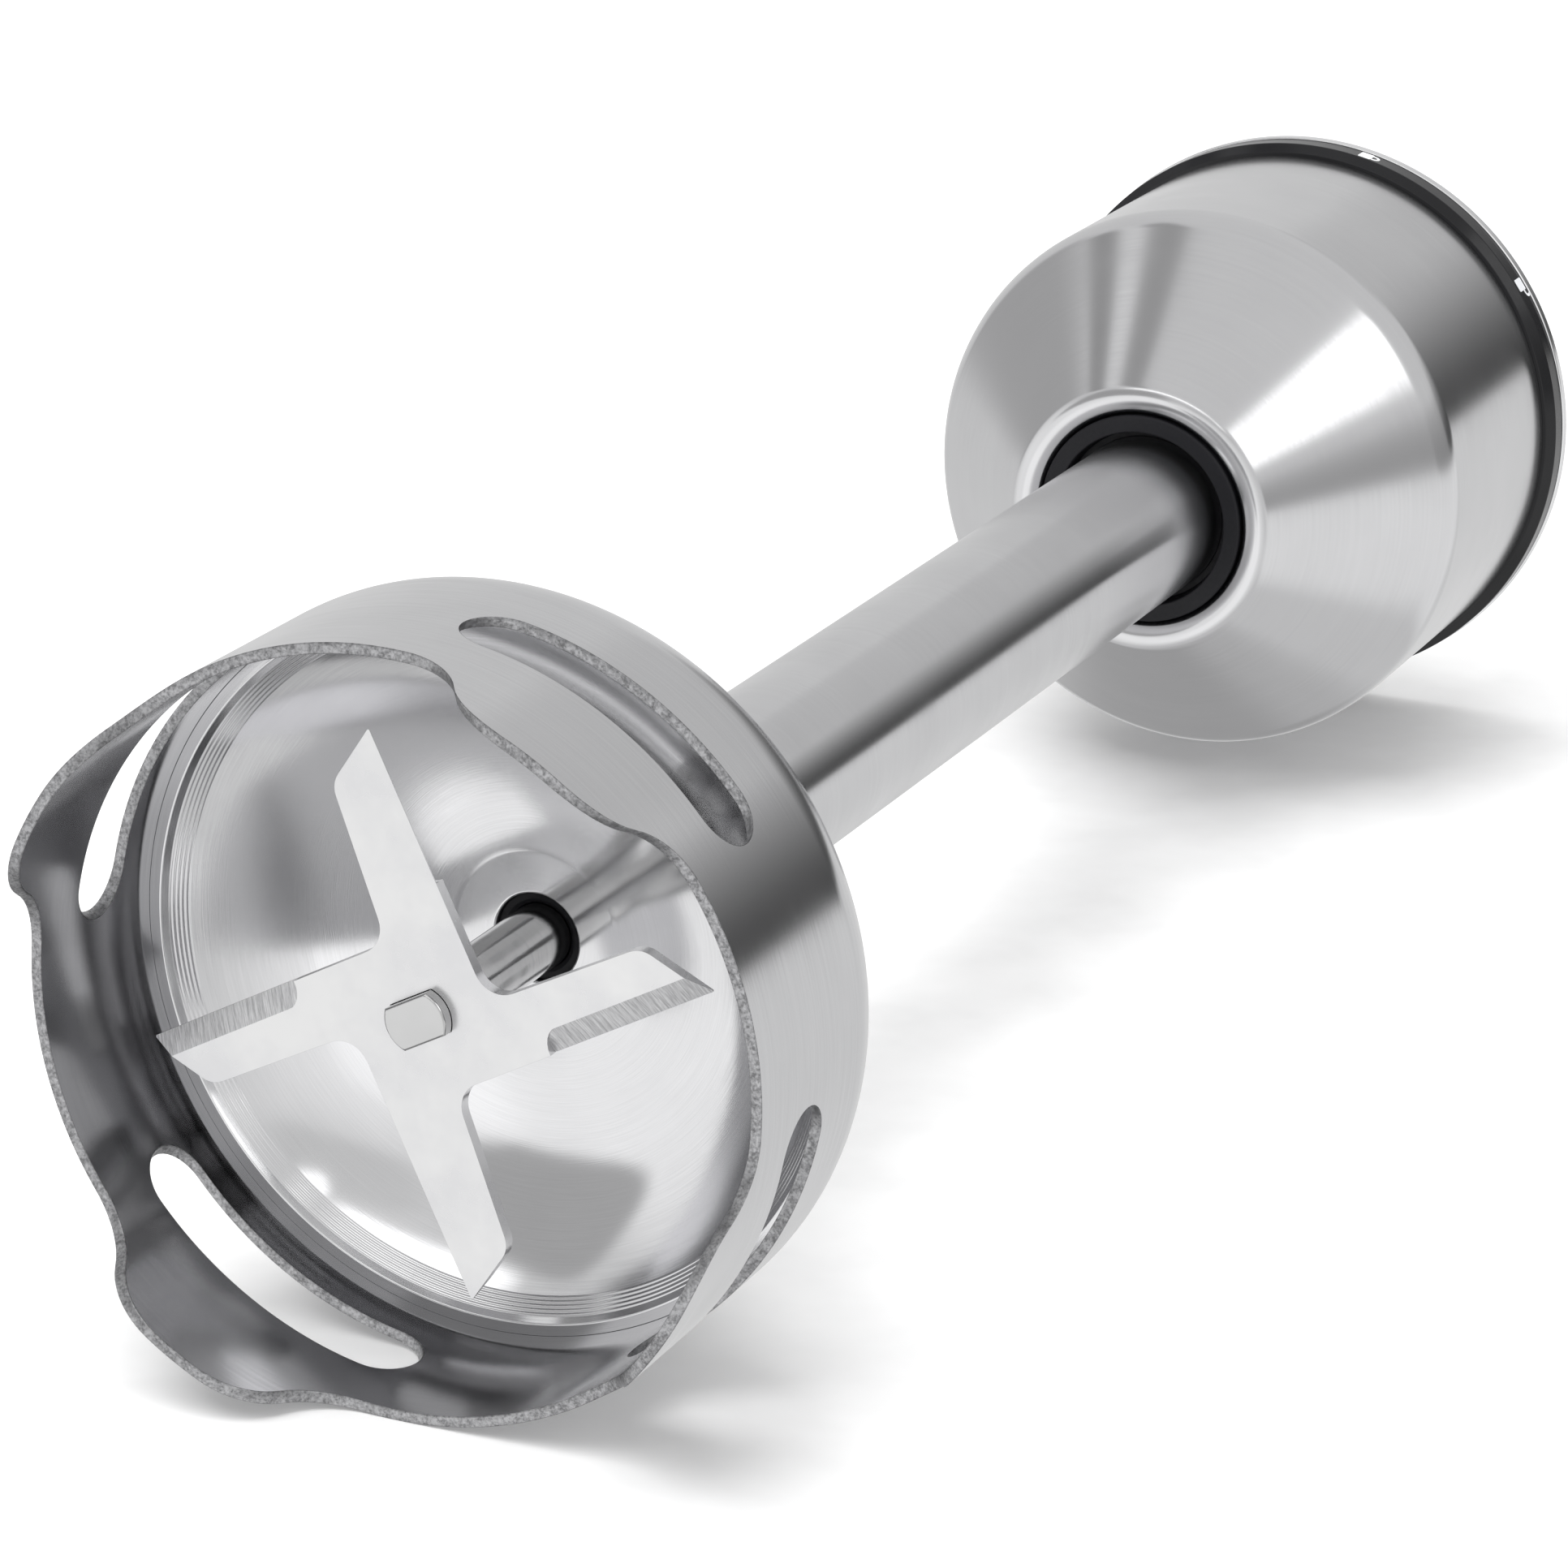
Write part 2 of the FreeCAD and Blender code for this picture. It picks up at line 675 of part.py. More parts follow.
def cage_pocket(name, turn):
    """Round hole through the cage, pointing outwards at the given angle."""
    hole = doc.addObject("Part::Cylinder", name)
    bind(hole, "Radius", "ball_radius + ball_play")
    bind(hole, "Height", "2 * ball_pitch")
    spin = Rotation(Vector(0, 0, 1), turn) * Rotation(Vector(0, 1, 0), 90)
    hole.Placement = Placement(Vector(0, 0, number("bearing_low + bearing_width / 2")), spin)
    return hole


def ball_bearing():
    low, high = "bearing_low", "bearing_low + bearing_width"
    keep(cut("bearing_outer_race", tube("outer_blank", "bearing_radius", "race_inner", low, high),
             groove("outer_groove")), "bearing_outer_race")
    keep(cut("bearing_inner_race", tube("inner_blank", "race_outer", "shaft_radius", low, high),
             groove("inner_groove")), "bearing_inner_race")
    places = ring_places(int(number("ball_count")), number("ball_pitch"))
    balls = [ball(f"ball_{i}", "ball_radius", p) for i, p in enumerate(places)]
    keep(group("bearing_balls", balls), "bearing_balls")
    pockets = [cage_pocket(f"pocket_{i}", 360.0 * i / len(places)) for i in range(len(places))]
    band = tube("cage_band", "ball_pitch + cage_sheet / 2", "ball_pitch - cage_sheet / 2",
                f"{low} + cage_inset", f"{high} - cage_inset")
    keep(cut("bearing_cage", band, fuse("cage_pockets", pockets)), "bearing_cage")


# ---------------------------------------------------------------- rotor

def tenon(name, low, high):
    """Double-D section: a round with two flats."""
    return common(name, cylinder(f"{name}_round", "shaft_radius", low, high),
                  bar(f"{name}_flats", "4 * shaft_radius", "tenon_flats", f"{low} - cut_past",
                      f"{high} + cut_past", FLATS_TURN))


def cross_pin(name, length):
    pin = doc.addObject("Part::Cylinder", name)
    bind(pin, "Radius", "pin_radius")
    bind(pin, "Height", length)
    pin.Placement = Placement(Vector(-number(length) / 2, 0, number("pin_station")),
                              Rotation(Vector(0, 1, 0), 90))
    return pin


def drive_shaft():
    blade_back = "blade_front + blade_sheet"
    rod = cylinder("shaft_rod", "shaft_radius", blade_back, "shaft_end")
    end = tenon("shaft_tenon", "tenon_front", blade_back)
    solid = fuse("shaft_solid", [rod, end])
    keep(cut("drive_shaft", solid, cross_pin("shaft_pin_hole", "4 * shaft_radius")), "drive_shaft")


def rings_on_shaft():
    shaft = "shaft_radius"
    washer_low = "bush_end + washer_gap"
    washer_high = f"{washer_low} + washer_sheet"
    keep(tube("thrust_washer", "washer_radius", shaft, washer_low, washer_high), "thrust_washer")
    keep(tube("shaft_circlip", "circlip_radius", shaft, washer_high,
              f"{washer_high} + circlip_sheet"), "shaft_circlip")
    keep(tube("bearing_circlip", "circlip_radius", shaft, "bearing_low - circlip_sheet",
              "bearing_low"), "bearing_circlip")
    keep(tube("bearing_spacer", "circlip_radius", shaft, "bearing_low + bearing_width",
              "driver_low"), "bearing_spacer")


def drive_coupler():
    body = turned("drive_coupler", [
        ("shaft_radius", "driver_low"), ("driver_radius - driver_chamfer", "driver_low"),
        ("driver_radius", "driver_low + driver_chamfer"),
        ("driver_radius", "driver_high - driver_mouth_chamfer"),
        ("driver_radius - driver_mouth_chamfer", "driver_high"),
        ("shaft_radius", "driver_high"),
    ])
    keys = [bar(f"driver_key_{i}", "driver_key_length", "driver_key_width",
                "driver_socket_low", "driver_high + cut_past", 180.0 * i / KEY_BARS)
            for i in range(KEY_BARS)]
    well = cylinder("driver_well", "driver_socket_radius", "driver_socket_low",
                    "driver_high + cut_past")
    pin_hole = cross_pin("driver_pin_hole", "4 * driver_radius")
    keep(cut("drive_coupler", body, fuse("driver_cuts", keys + [well, pin_hole])),
         "drive_coupler")
    keep(group("coupler_pin", [cross_pin("coupler_pin_rod", "pin_length")]), "coupler_pin")


def arm_points(arm, turn):
    a = math.radians(turn)
    return [(u * math.cos(a) - v * math.sin(a), u * math.sin(a) + v * math.cos(a))
            for u, v in arm]


def bevel(name, arm, turn, on_front):
    """Wedge that grinds the sharp side of an arm, from bevel_start out past its tip."""
    _, tip, root = arm
    along = Vector(tip[0] - root[0], tip[1] - root[1], 0).normalize()
    start = Vector(root[0], root[1], 0) + along * ((number("bevel_start") - root[0]) / along.x)
    finish = Vector(tip[0], tip[1], 0) + along * WEDGE_RUN
    heading = Rotation(Vector(0, 0, 1), math.degrees(math.atan2(along.y, along.x)))
    wedge = doc.addObject("Part::Wedge", name)
    wedge.Xmin, wedge.X2min = 0.0, 0.0
    wedge.Xmax, wedge.X2max = [(finish - start).Length] * 2
    wedge.Ymin, wedge.Zmin, wedge.Z2min, wedge.Z2max = 0.0, 0.0, 0.0, 0.0
    bind(wedge, "Ymax", "bevel_width")
    bind(wedge, "Zmax", "blade_sheet - edge_land")
    if on_front:
        base = finish + Vector(0, 0, number("blade_front"))
        facing = heading * Rotation(Vector(0, 0, 1), 180)
    else:
        base = start + Vector(0, 0, number("blade_front + blade_sheet"))
        facing = heading * Rotation(Vector(1, 0, 0), 180)
    arm_turn = Placement(Vector(), Rotation(Vector(0, 0, 1), turn))
    wedge.Placement = arm_turn * Placement(base, facing)
    return wedge


def upright_edges(shape, places):
    """Names of the edges along Z that stand at the given (x, y) places."""
    names = []
    for index, edge in enumerate(shape.Edges, start=1):
        first, last = edge.Vertexes[0].Point, edge.Vertexes[-1].Point
        if abs(first.z - last.z) < 0.1:
            continue
        if any(math.hypot(first.x - x, first.y - y) < 0.01 for x, y in places):
            names.append(f"Edge{index}")
    return names


def round_uprights(body, base, radius, places):
    fillet = body.newObject("PartDesign::Fillet", f"{body.Name}_round{len(body.Group)}")
    fillet.Base = (base, upright_edges(base.Shape, places))
    bind(fillet, "Radius", radius)
    doc.recompute()
    return fillet


def cross_blade():
    arms = [(SHORT_ARM, 0.0), (LONG_ARM, 90.0), (SHORT_ARM, 180.0), (LONG_ARM, 270.0)]
    corners = [point for arm, turn in arms for point in arm_points(arm, turn)]
    body = new_body("cross_blade_body")
    offset = Placement(Vector(0, 0, number("blade_front")), Rotation())
    sketch = new_sketch(body, "blade_outline", "XY_Plane", offset)
    bind(sketch, "AttachmentOffset.Base.z", "blade_front")
    outline(sketch, corners)
    pad = body.newObject("PartDesign::Pad", "blade_sheet_metal")
    pad.Profile = sketch
    bind(pad, "Length", "blade_sheet")
    doc.recompute()
    last = round_uprights(body, pad, "blade_root_round", corners[2::3])
    last = round_uprights(body, last, "blade_corner_round", corners[0::3])
    body.Tip = last
    grinds = [bevel(f"bevel_{i}", arm, turn, on_front=arm is LONG_ARM)
              for i, (arm, turn) in enumerate(arms)]
    hole = tenon("blade_hole", "blade_front - cut_past", "blade_front + blade_sheet + cut_past")
    hole.Placement = Placement(Vector(), Rotation(Vector(0, 0, 1), -BLADE_TURN))
    keep(cut("cross_blade", body, fuse("blade_cuts", grinds + [hole])), "cross_blade", BLADE_TURN)


for make in (blade_guard, guard_floor, lower_bearing, tube_and_liner, neck_seal, coupling_shell,
             coupling_core, lock_ring, rear_trim, bearing_retainer, socket_gasket, ball_bearing,
             drive_shaft, rings_on_shaft, drive_coupler, cross_blade):
    make()
screws("ring_screws", RING_SCREW_PITCH, RING_SCREW_START, "ring_screw_tip",
       "ring_end - head_sink", "ring_end")
doc.recompute()

for thing in doc.Objects:
    if "Invalid" in thing.State or "Error" in thing.State:
        raise RuntimeError(f"{thing.Name} failed: {thing.State}")
for node in nodes:
    if node.Shape.isNull() or not node.Shape.isValid() or not node.Shape.Solids:
        raise RuntimeError(f"{node.Label} has no valid solid")

os.makedirs("parts", exist_ok=True)
for node in nodes:
    node.Shape.exportStep(f"parts/{node.Label}.step")
    print(node.Label, len(node.Shape.Solids), round(node.Shape.Volume, 1))
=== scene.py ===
import json
import math

import bmesh
import bpy
from mathutils import Matrix, Vector


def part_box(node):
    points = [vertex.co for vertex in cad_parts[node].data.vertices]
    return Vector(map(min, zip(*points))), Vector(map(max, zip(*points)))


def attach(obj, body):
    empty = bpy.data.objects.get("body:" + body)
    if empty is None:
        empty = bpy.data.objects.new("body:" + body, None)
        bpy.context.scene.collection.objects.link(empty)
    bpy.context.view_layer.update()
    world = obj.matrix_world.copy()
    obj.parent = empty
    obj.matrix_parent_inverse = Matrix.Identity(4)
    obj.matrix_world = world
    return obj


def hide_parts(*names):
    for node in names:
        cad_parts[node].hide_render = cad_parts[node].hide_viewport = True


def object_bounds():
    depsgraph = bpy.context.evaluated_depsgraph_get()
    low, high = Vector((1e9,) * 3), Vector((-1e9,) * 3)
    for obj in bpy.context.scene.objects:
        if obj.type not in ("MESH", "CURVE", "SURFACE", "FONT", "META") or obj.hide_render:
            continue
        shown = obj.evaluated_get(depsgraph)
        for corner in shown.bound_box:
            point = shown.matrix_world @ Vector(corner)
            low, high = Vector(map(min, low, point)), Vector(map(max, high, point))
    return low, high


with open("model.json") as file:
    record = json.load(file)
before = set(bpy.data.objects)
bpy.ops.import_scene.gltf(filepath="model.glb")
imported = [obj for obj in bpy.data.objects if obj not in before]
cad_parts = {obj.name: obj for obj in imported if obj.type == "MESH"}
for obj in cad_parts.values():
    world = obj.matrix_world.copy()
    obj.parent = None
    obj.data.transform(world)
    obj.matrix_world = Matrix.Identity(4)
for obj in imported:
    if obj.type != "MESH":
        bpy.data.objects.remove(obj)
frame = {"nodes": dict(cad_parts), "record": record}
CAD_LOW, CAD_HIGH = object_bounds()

# A detachable blending shaft that lies along +Y on a pale studio floor, its guard's mouth
# towards -Y. Sizes are in millimetres; a "station" is a distance along the shaft from the
# guard's feet, and "beta" an angle about the shaft from +Z towards +X.

MM = 0.001
NODES = frame["nodes"]
RECORD = frame["record"]
FEET_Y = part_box("bell_guard")[0].y


def half_width(node):
    low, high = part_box(node)
    return (high.x - low.x) / 2 / MM


def station(node, end):
    """Station of a node's near (0) or far (1) end."""
    return (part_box(node)[end].y - FEET_Y) / MM


GUARD_R = half_width("bell_guard")
GUARD_WALL = GUARD_R - half_width("bell_floor")
TUBE_R = half_width("outer_tube")
SHAFT_R = half_width("drive_shaft")
SHELL_R = half_width("coupling_shell")
RING_R = half_width("lock_ring")
TRIM_R = half_width("rear_trim_ring")
SHELL_END = station("coupling_shell", 1)
RING_END = station("lock_ring", 1)
REAR = station("rear_trim_ring", 1)
COLLAR_END = station("bell_guard", 1)
BLADE_FRONT = station("cross_blade", 0)
BLADE_BACK = station("cross_blade", 1)
FOOT_TURN = math.radians(31.0)        # beta of the first foot of the guard
FEET = 4
SECTOR = math.tau / FEET


def place(radius, beta, at):
    """Point at a radius, angle and station, in metres."""
    x, z = radius * math.sin(beta), radius * math.cos(beta)
    return Vector((x * MM, FEET_Y + at * MM, z * MM))


# ---------------------------------------------------------------- camera

CAMERA_AT = Vector((0.2081, FEET_Y - 0.3584, 0.1688))
CAMERA_LOOK = Vector((-0.4006, 0.8553, -0.3285))
CAMERA_LENS = 123.3


def add_camera():
    data = bpy.data.cameras.new("camera")
    data.lens = CAMERA_LENS
    data.sensor_width = 36.0
    data.clip_start, data.clip_end = 0.02, 20.0
    camera = bpy.data.objects.new("camera", data)
    bpy.context.collection.objects.link(camera)
    camera.location = CAMERA_AT
    camera.rotation_euler = CAMERA_LOOK.to_track_quat("-Z", "Y").to_euler()
    bpy.context.scene.camera = camera


# ---------------------------------------------------------------- mesh helpers

def rounded(corners, step=math.radians(9.0)):
    """Closed section with each (radius, station, round) corner turned into an arc."""
    points = []
    count = len(corners)
    for i, (r, s, size) in enumerate(corners):
        here = Vector((r, s))
        back = (Vector(corners[i - 1][:2]) - here)
        ahead = (Vector(corners[(i + 1) % count][:2]) - here)
        if size <= 0:
            points.append(here)
            continue
        turn = math.pi - back.angle(ahead)
        cut = min(size * math.tan(turn / 2), 0.9 * back.length, 0.9 * ahead.length)
        size = cut / math.tan(turn / 2)
        first = here + back.normalized() * cut
        last = here + ahead.normalized() * cut
        centre = here + (back.normalized() + ahead.normalized()).normalized() * math.hypot(size, cut)
        arms = first - centre, last - centre
        pieces = max(2, round(turn / step))
        sweep = arms[0].angle_signed(arms[1])
        for k in range(pieces + 1):
            arm = arms[0].copy()
            arm.rotate(Matrix.Rotation(-sweep * k / pieces, 2))
            points.append(centre + arm)
    return points


def section_normals(points):
    """Outward normals of a closed section, weighted so that straight runs stay true."""
    area = sum(a.x * b.y - b.x * a.y for a, b in zip(points, points[1:] + points[:1]))
    sign = 1.0 if area > 0 else -1.0
    normals = []
    for i, here in enumerate(points):
        total = Vector((0.0, 0.0))
        for other in (here - points[i - 1], points[(i + 1) % len(points)] - here):
            total += Vector((other.y, -other.x)) * sign
        normals.append(total.normalized())
    return normals


def new_piece(name, mesh, materials, body, replaced):
    piece = bpy.data.objects.new(name, mesh)
    bpy.context.collection.objects.link(piece)
    for material in materials:
        mesh.materials.append(material)
    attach(piece, body)
    if replaced:
        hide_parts(*replaced)
    return piece


def lathe_mesh(name, corners, segments):
    """Mesh of a section of (radius, station, round) corners turned about the shaft's axis."""
    points = rounded(corners)
    flats = section_normals(points)
    verts, normals, faces = [], [], []
    count = len(points)
    for k in range(segments):
        beta = math.tau * k / segments
        for point, flat in zip(points, flats):
            verts.append(place(point.x, beta, point.y))
            normals.append((flat.x * math.sin(beta), flat.y, flat.x * math.cos(beta)))
    for k in range(segments):
        here, ahead = k * count, (k + 1) % segments * count
        for i in range(count):
            j = (i + 1) % count
            faces.append((here + i, here + j, ahead + j, ahead + i))
    mesh = bpy.data.meshes.new(name)
    mesh.from_pydata(verts, [], faces)
    orient(mesh, normals)
    return mesh


def orient(mesh, normals):
    """Turns the faces to agree with the wanted vertex normals, then sets those normals."""
    face = mesh.polygons[0]
    wanted = sum((Vector(normals[v]) for v in face.vertices), Vector())
    if face.normal.dot(wanted) < 0:
        mesh.flip_normals()
    mesh.shade_smooth()
    mesh.normals_split_custom_set_from_vertices(normals)


def lathe(name, corners, material, body, replaced, segments=256):
    mesh = lathe_mesh(name, corners, segments)
    return new_piece(name, mesh, [material], body, replaced)


def prism(name, points):
    """Closed mesh between two outlines of as many points each, given one after the other."""
    count = len(points) // 2
    faces = [tuple(range(count)), tuple(reversed(range(count, 2 * count)))]
    faces += [(i, (i + 1) % count, count + (i + 1) % count, count + i) for i in range(count)]
    mesh = bpy.data.meshes.new(name)
    mesh.from_pydata(points, [], faces)
    tidy_normals(mesh)
    return mesh


def break_edges(piece, width, degrees):
    """Small rounds along every edge that is sharper than an angle."""
    edge = piece.modifiers.new("broken_edges", "BEVEL")
    edge.width = width * MM
    edge.segments = 2
    edge.limit_method = "ANGLE"
    edge.angle_limit = math.radians(degrees)
    edge.harden_normals = True


def fine_copy(node, name, material, bevel):
    """A finer stand-in for a CAD node: its own mesh cleaned, with every hard edge broken."""
    mesh = NODES[node].data.copy()
    mesh.materials.clear()
    bm = bmesh.new()
    bm.from_mesh(mesh)
    bmesh.ops.remove_doubles(bm, verts=bm.verts, dist=1e-6)
    bmesh.ops.dissolve_limit(bm, angle_limit=math.radians(0.6), verts=bm.verts, edges=bm.edges)
    bm.to_mesh(mesh)
    bm.free()
    if "custom_normal" in mesh.attributes:
        mesh.attributes.remove(mesh.attributes["custom_normal"])
    mesh.shade_smooth()
    piece = new_piece(name, mesh, [material], node_body(node), [node])
    break_edges(piece, bevel, 32)


def node_body(node):
    groups = RECORD["behaviour"]["bodies"]
    return next(body for body, members in groups.items() if node in members)


# ---------------------------------------------------------------- materials

def blank(name):
    material = bpy.data.materials.new(name)
    material.use_nodes = True
    tree = material.node_tree
    return material, tree, tree.nodes["Principled BSDF"]


def add(tree, kind, **settings):
    node = tree.nodes.new(kind)
    for key, value in settings.items():
        setattr(node, key, value)
    return node


def link(tree, source, target):
    tree.links.new(source, target)


def math_node(tree, operation, first, second=None):
    node = add(tree, "ShaderNodeMath", operation=operation)
    for socket, value in zip(node.inputs, (first, second)):
        if value is None:
            continue
        if isinstance(value, (int, float)):
            socket.default_value = value
        else:
            link(tree, value, socket)
    return node.outputs[0]


def ramp(tree, source, low, high, to_low, to_high):
    node = add(tree, "ShaderNodeMapRange")
    link(tree, source, node.inputs["Value"])
    for socket, value in zip(node.inputs[1:5], (low, high, to_low, to_high)):
        socket.default_value = value
    return node.outputs[0]


def tint(tree, source, dark, light, low=0.0, high=1.0):
    node = add(tree, "ShaderNodeValToRGB")
    node.color_ramp.elements[0].position = low
    node.color_ramp.elements[1].position = high
    node.color_ramp.elements[0].color = (*dark, 1)
    node.color_ramp.elements[1].color = (*light, 1)
    link(tree, source, node.inputs[0])
    return node.outputs[0]


def noise(tree, vector, scale, detail=3.0, rough=0.55):
    node = add(tree, "ShaderNodeTexNoise")
    node.inputs["Scale"].default_value = scale
    node.inputs["Detail"].default_value = detail
    node.inputs["Roughness"].default_value = rough
    link(tree, vector, node.inputs["Vector"])
    return node.outputs["Fac"]


def object_xyz(tree):
    coords = add(tree, "ShaderNodeTexCoord")
    split = add(tree, "ShaderNodeSeparateXYZ")
    link(tree, coords.outputs["Object"], split.inputs[0])
    return coords.outputs["Object"], split.outputs


def stretched(tree, across, around):
    """Coordinates for turning marks: fine along the shaft, long round it."""
    _, (x, y, z) = object_xyz(tree)
    join = add(tree, "ShaderNodeCombineXYZ")
    link(tree, math_node(tree, "MULTIPLY", x, around), join.inputs[0])
    link(tree, math_node(tree, "MULTIPLY", y, across), join.inputs[1])
    link(tree, math_node(tree, "MULTIPLY", z, around), join.inputs[2])
    return join.outputs[0]


def ringed(tree, across, around):
    """Coordinates for concentric marks on a face: fine along the radius, long round it."""
    _, (x, y, z) = object_xyz(tree)
    radius = math_node(tree, "SQRT", math_node(tree, "ADD", math_node(tree, "MULTIPLY", x, x),
                                               math_node(tree, "MULTIPLY", z, z)))
    join = add(tree, "ShaderNodeCombineXYZ")
    link(tree, math_node(tree, "MULTIPLY", x, around), join.inputs[0])
    link(tree, math_node(tree, "MULTIPLY", radius, across), join.inputs[1])
    link(tree, math_node(tree, "MULTIPLY", z, around), join.inputs[2])
    return join.outputs[0]


def bump(tree, bsdf, source, strength, distance):
    node = add(tree, "ShaderNodeBump")
    node.inputs["Strength"].default_value = strength
    node.inputs["Distance"].default_value = distance
    link(tree, source, node.inputs["Height"])
    link(tree, node.outputs[0], bsdf.inputs["Normal"])


def turned_tangent(tree, bsdf, amount):
    bsdf.inputs["Anisotropic"].default_value = amount
    bsdf.inputs["Anisotropic Rotation"].default_value = 0.25
    tangent = add(tree, "ShaderNodeTangent", direction_type="RADIAL", axis="Y")
    link(tree, tangent.outputs[0], bsdf.inputs["Tangent"])


def steel(name, light, dark, rough, spread, marks, depth, anisotropy=0.0, face=False,
          across=4000.0, around=60.0):
    """Bare steel with fine marks round the axis, cloudy gloss and a little tarnish."""
    material, tree, bsdf = blank(name)
    bsdf.inputs["Metallic"].default_value = 1.0
    coords = (ringed if face else stretched)(tree, across, around)
    lines = noise(tree, coords, 1.0, 4.0, 0.6)
    whole, _ = object_xyz(tree)
    clouds = noise(tree, whole, 90.0, 3.0)
    mixed = math_node(tree, "ADD", math_node(tree, "MULTIPLY", lines, marks),
                      math_node(tree, "MULTIPLY", clouds, 1.0 - marks))
    link(tree, tint(tree, mixed, dark, light, 0.3, 0.7), bsdf.inputs["Base Color"])
    link(tree, ramp(tree, mixed, 0.3, 0.7, rough + spread, rough - spread),
         bsdf.inputs["Roughness"])
    if anisotropy:
        turned_tangent(tree, bsdf, anisotropy)
    bump(tree, bsdf, lines, depth, 0.00002)
    return material


def cut_edge():
    """Sheared edge of the guard's sheet: dull, pitted and streaked."""
    material, tree, bsdf = blank("cut_edge_steel")
    bsdf.inputs["Metallic"].default_value = 1.0
    whole, _ = object_xyz(tree)
    pits = noise(tree, whole, 4200.0, 3.0, 0.6)
    patches = noise(tree, whole, 1500.0, 3.0, 0.6)
    mixed = math_node(tree, "ADD", math_node(tree, "MULTIPLY", pits, 0.5),
                      math_node(tree, "MULTIPLY", patches, 0.5))
    link(tree, tint(tree, mixed, (0.20, 0.20, 0.205), (0.44, 0.44, 0.45), 0.38, 0.60),
         bsdf.inputs["Base Color"])
    link(tree, ramp(tree, pits, 0.3, 0.7, 0.6, 0.3), bsdf.inputs["Roughness"])
    bump(tree, bsdf, mixed, 0.25, 0.00002)
    return material


def blade_face(name, light, glossy, dull):
    """Bright rolled sheet with faint clouding."""
    material, tree, bsdf = blank(name)
    bsdf.inputs["Metallic"].default_value = 1.0
    whole, _ = object_xyz(tree)
    clouds = noise(tree, whole, 130.0, 4.0, 0.6)
    link(tree, tint(tree, clouds, (light - 0.06, light - 0.06, light - 0.05), (light,) * 3, 0.35, 0.65),
         bsdf.inputs["Base Color"])
    link(tree, ramp(tree, clouds, 0.3, 0.7, dull, glossy), bsdf.inputs["Roughness"])
    return material


def ground_bevel():
    """Ground bevel: scratches straight across the edge, laid out by the UV map."""
    material, tree, bsdf = blank("ground_bevel_steel")
    bsdf.inputs["Metallic"].default_value = 1.0
    uv = add(tree, "ShaderNodeUVMap", uv_map="grind")
    split = add(tree, "ShaderNodeSeparateXYZ")
    link(tree, uv.outputs[0], split.inputs[0])
    join = add(tree, "ShaderNodeCombineXYZ")
    link(tree, math_node(tree, "MULTIPLY", split.outputs[0], 5200.0), join.inputs[0])
    link(tree, math_node(tree, "MULTIPLY", split.outputs[1], 420.0), join.inputs[1])
    scratches = noise(tree, join.outputs[0], 1.0, 4.0, 0.7)
    link(tree, tint(tree, scratches, (0.55, 0.55, 0.56), (0.90, 0.90, 0.91), 0.36, 0.62),
         bsdf.inputs["Base Color"])
    link(tree, ramp(tree, scratches, 0.3, 0.7, 0.5, 0.28), bsdf.inputs["Roughness"])
    bump(tree, bsdf, scratches, 0.5, 0.00006)
    return material


def plastic(name, colour, rough, coat=0.0, grain=900.0, depth=0.1, specular=0.5):
    material, tree, bsdf = blank(name)
    whole, _ = object_xyz(tree)
    fine = noise(tree, whole, grain, 3.0)
    broad = noise(tree, whole, 60.0, 3.0)
    lighter = tuple(min(1.0, c * 1.35 + 0.004) for c in colour)
    link(tree, tint(tree, broad, colour, lighter, 0.3, 0.7), bsdf.inputs["Base Color"])
    link(tree, ramp(tree, fine, 0.3, 0.7, rough * 1.15, rough * 0.85), bsdf.inputs["Roughness"])
    bsdf.inputs["Specular IOR Level"].default_value = specular
    bsdf.inputs["Coat Weight"].default_value = coat
    bsdf.inputs["Coat Roughness"].default_value = 0.06
    bump(tree, bsdf, fine, depth, 0.00005)
    return material


SATIN = steel("satin_steel", (0.64, 0.64, 0.65), (0.57, 0.57, 0.58), 0.17, 0.03, 0.6, 0.10, 0.6)
# Inner skin of the guard: the same polished steel with its colour darkened, a painted shade standing in
# for the dim light inside the bell.
SHADED_INNER_STEEL = steel("inner_steel_painted_shade", (0.42, 0.42, 0.43), (0.34, 0.34, 0.35), 0.09, 0.03, 0.5,
               0.06, 0.5)
DISH = steel("dished_floor_steel", (0.74, 0.74, 0.75), (0.66, 0.66, 0.67), 0.11, 0.04, 0.6, 0.08,
             0.4, face=True, across=12000.0, around=160.0)
TUBE_STEEL = steel("tube_steel", (0.64, 0.64, 0.65), (0.59, 0.59, 0.60), 0.16, 0.03, 0.4, 0.04, 0.9)
SHELL_STEEL = steel("shell_steel", (0.64, 0.64, 0.65), (0.60, 0.60, 0.61), 0.18, 0.03, 0.4, 0.04,
                    0.3)
TRIM_STEEL = steel("trim_steel", (0.80, 0.80, 0.81), (0.74, 0.74, 0.75), 0.16, 0.03, 0.4, 0.05)
SHAFT_STEEL = steel("shaft_steel", (0.62, 0.62, 0.62), (0.50, 0.50, 0.50), 0.14, 0.04, 0.6, 0.12,
                    0.4)
PLATED = steel("plated_steel", (0.56, 0.56, 0.58), (0.42, 0.42, 0.45), 0.32, 0.05, 0.3, 0.1)
GROUND = steel("bearing_steel", (0.62, 0.62, 0.64), (0.52, 0.52, 0.54), 0.14, 0.03, 0.3, 0.06)
BRONZE = steel("sintered_bronze", (0.56, 0.40, 0.22), (0.40, 0.27, 0.14), 0.42, 0.08, 0.2, 0.2)
CUT_EDGE = cut_edge()
BLADE = blade_face("blade_sheet_steel", 0.72, 0.22, 0.30)
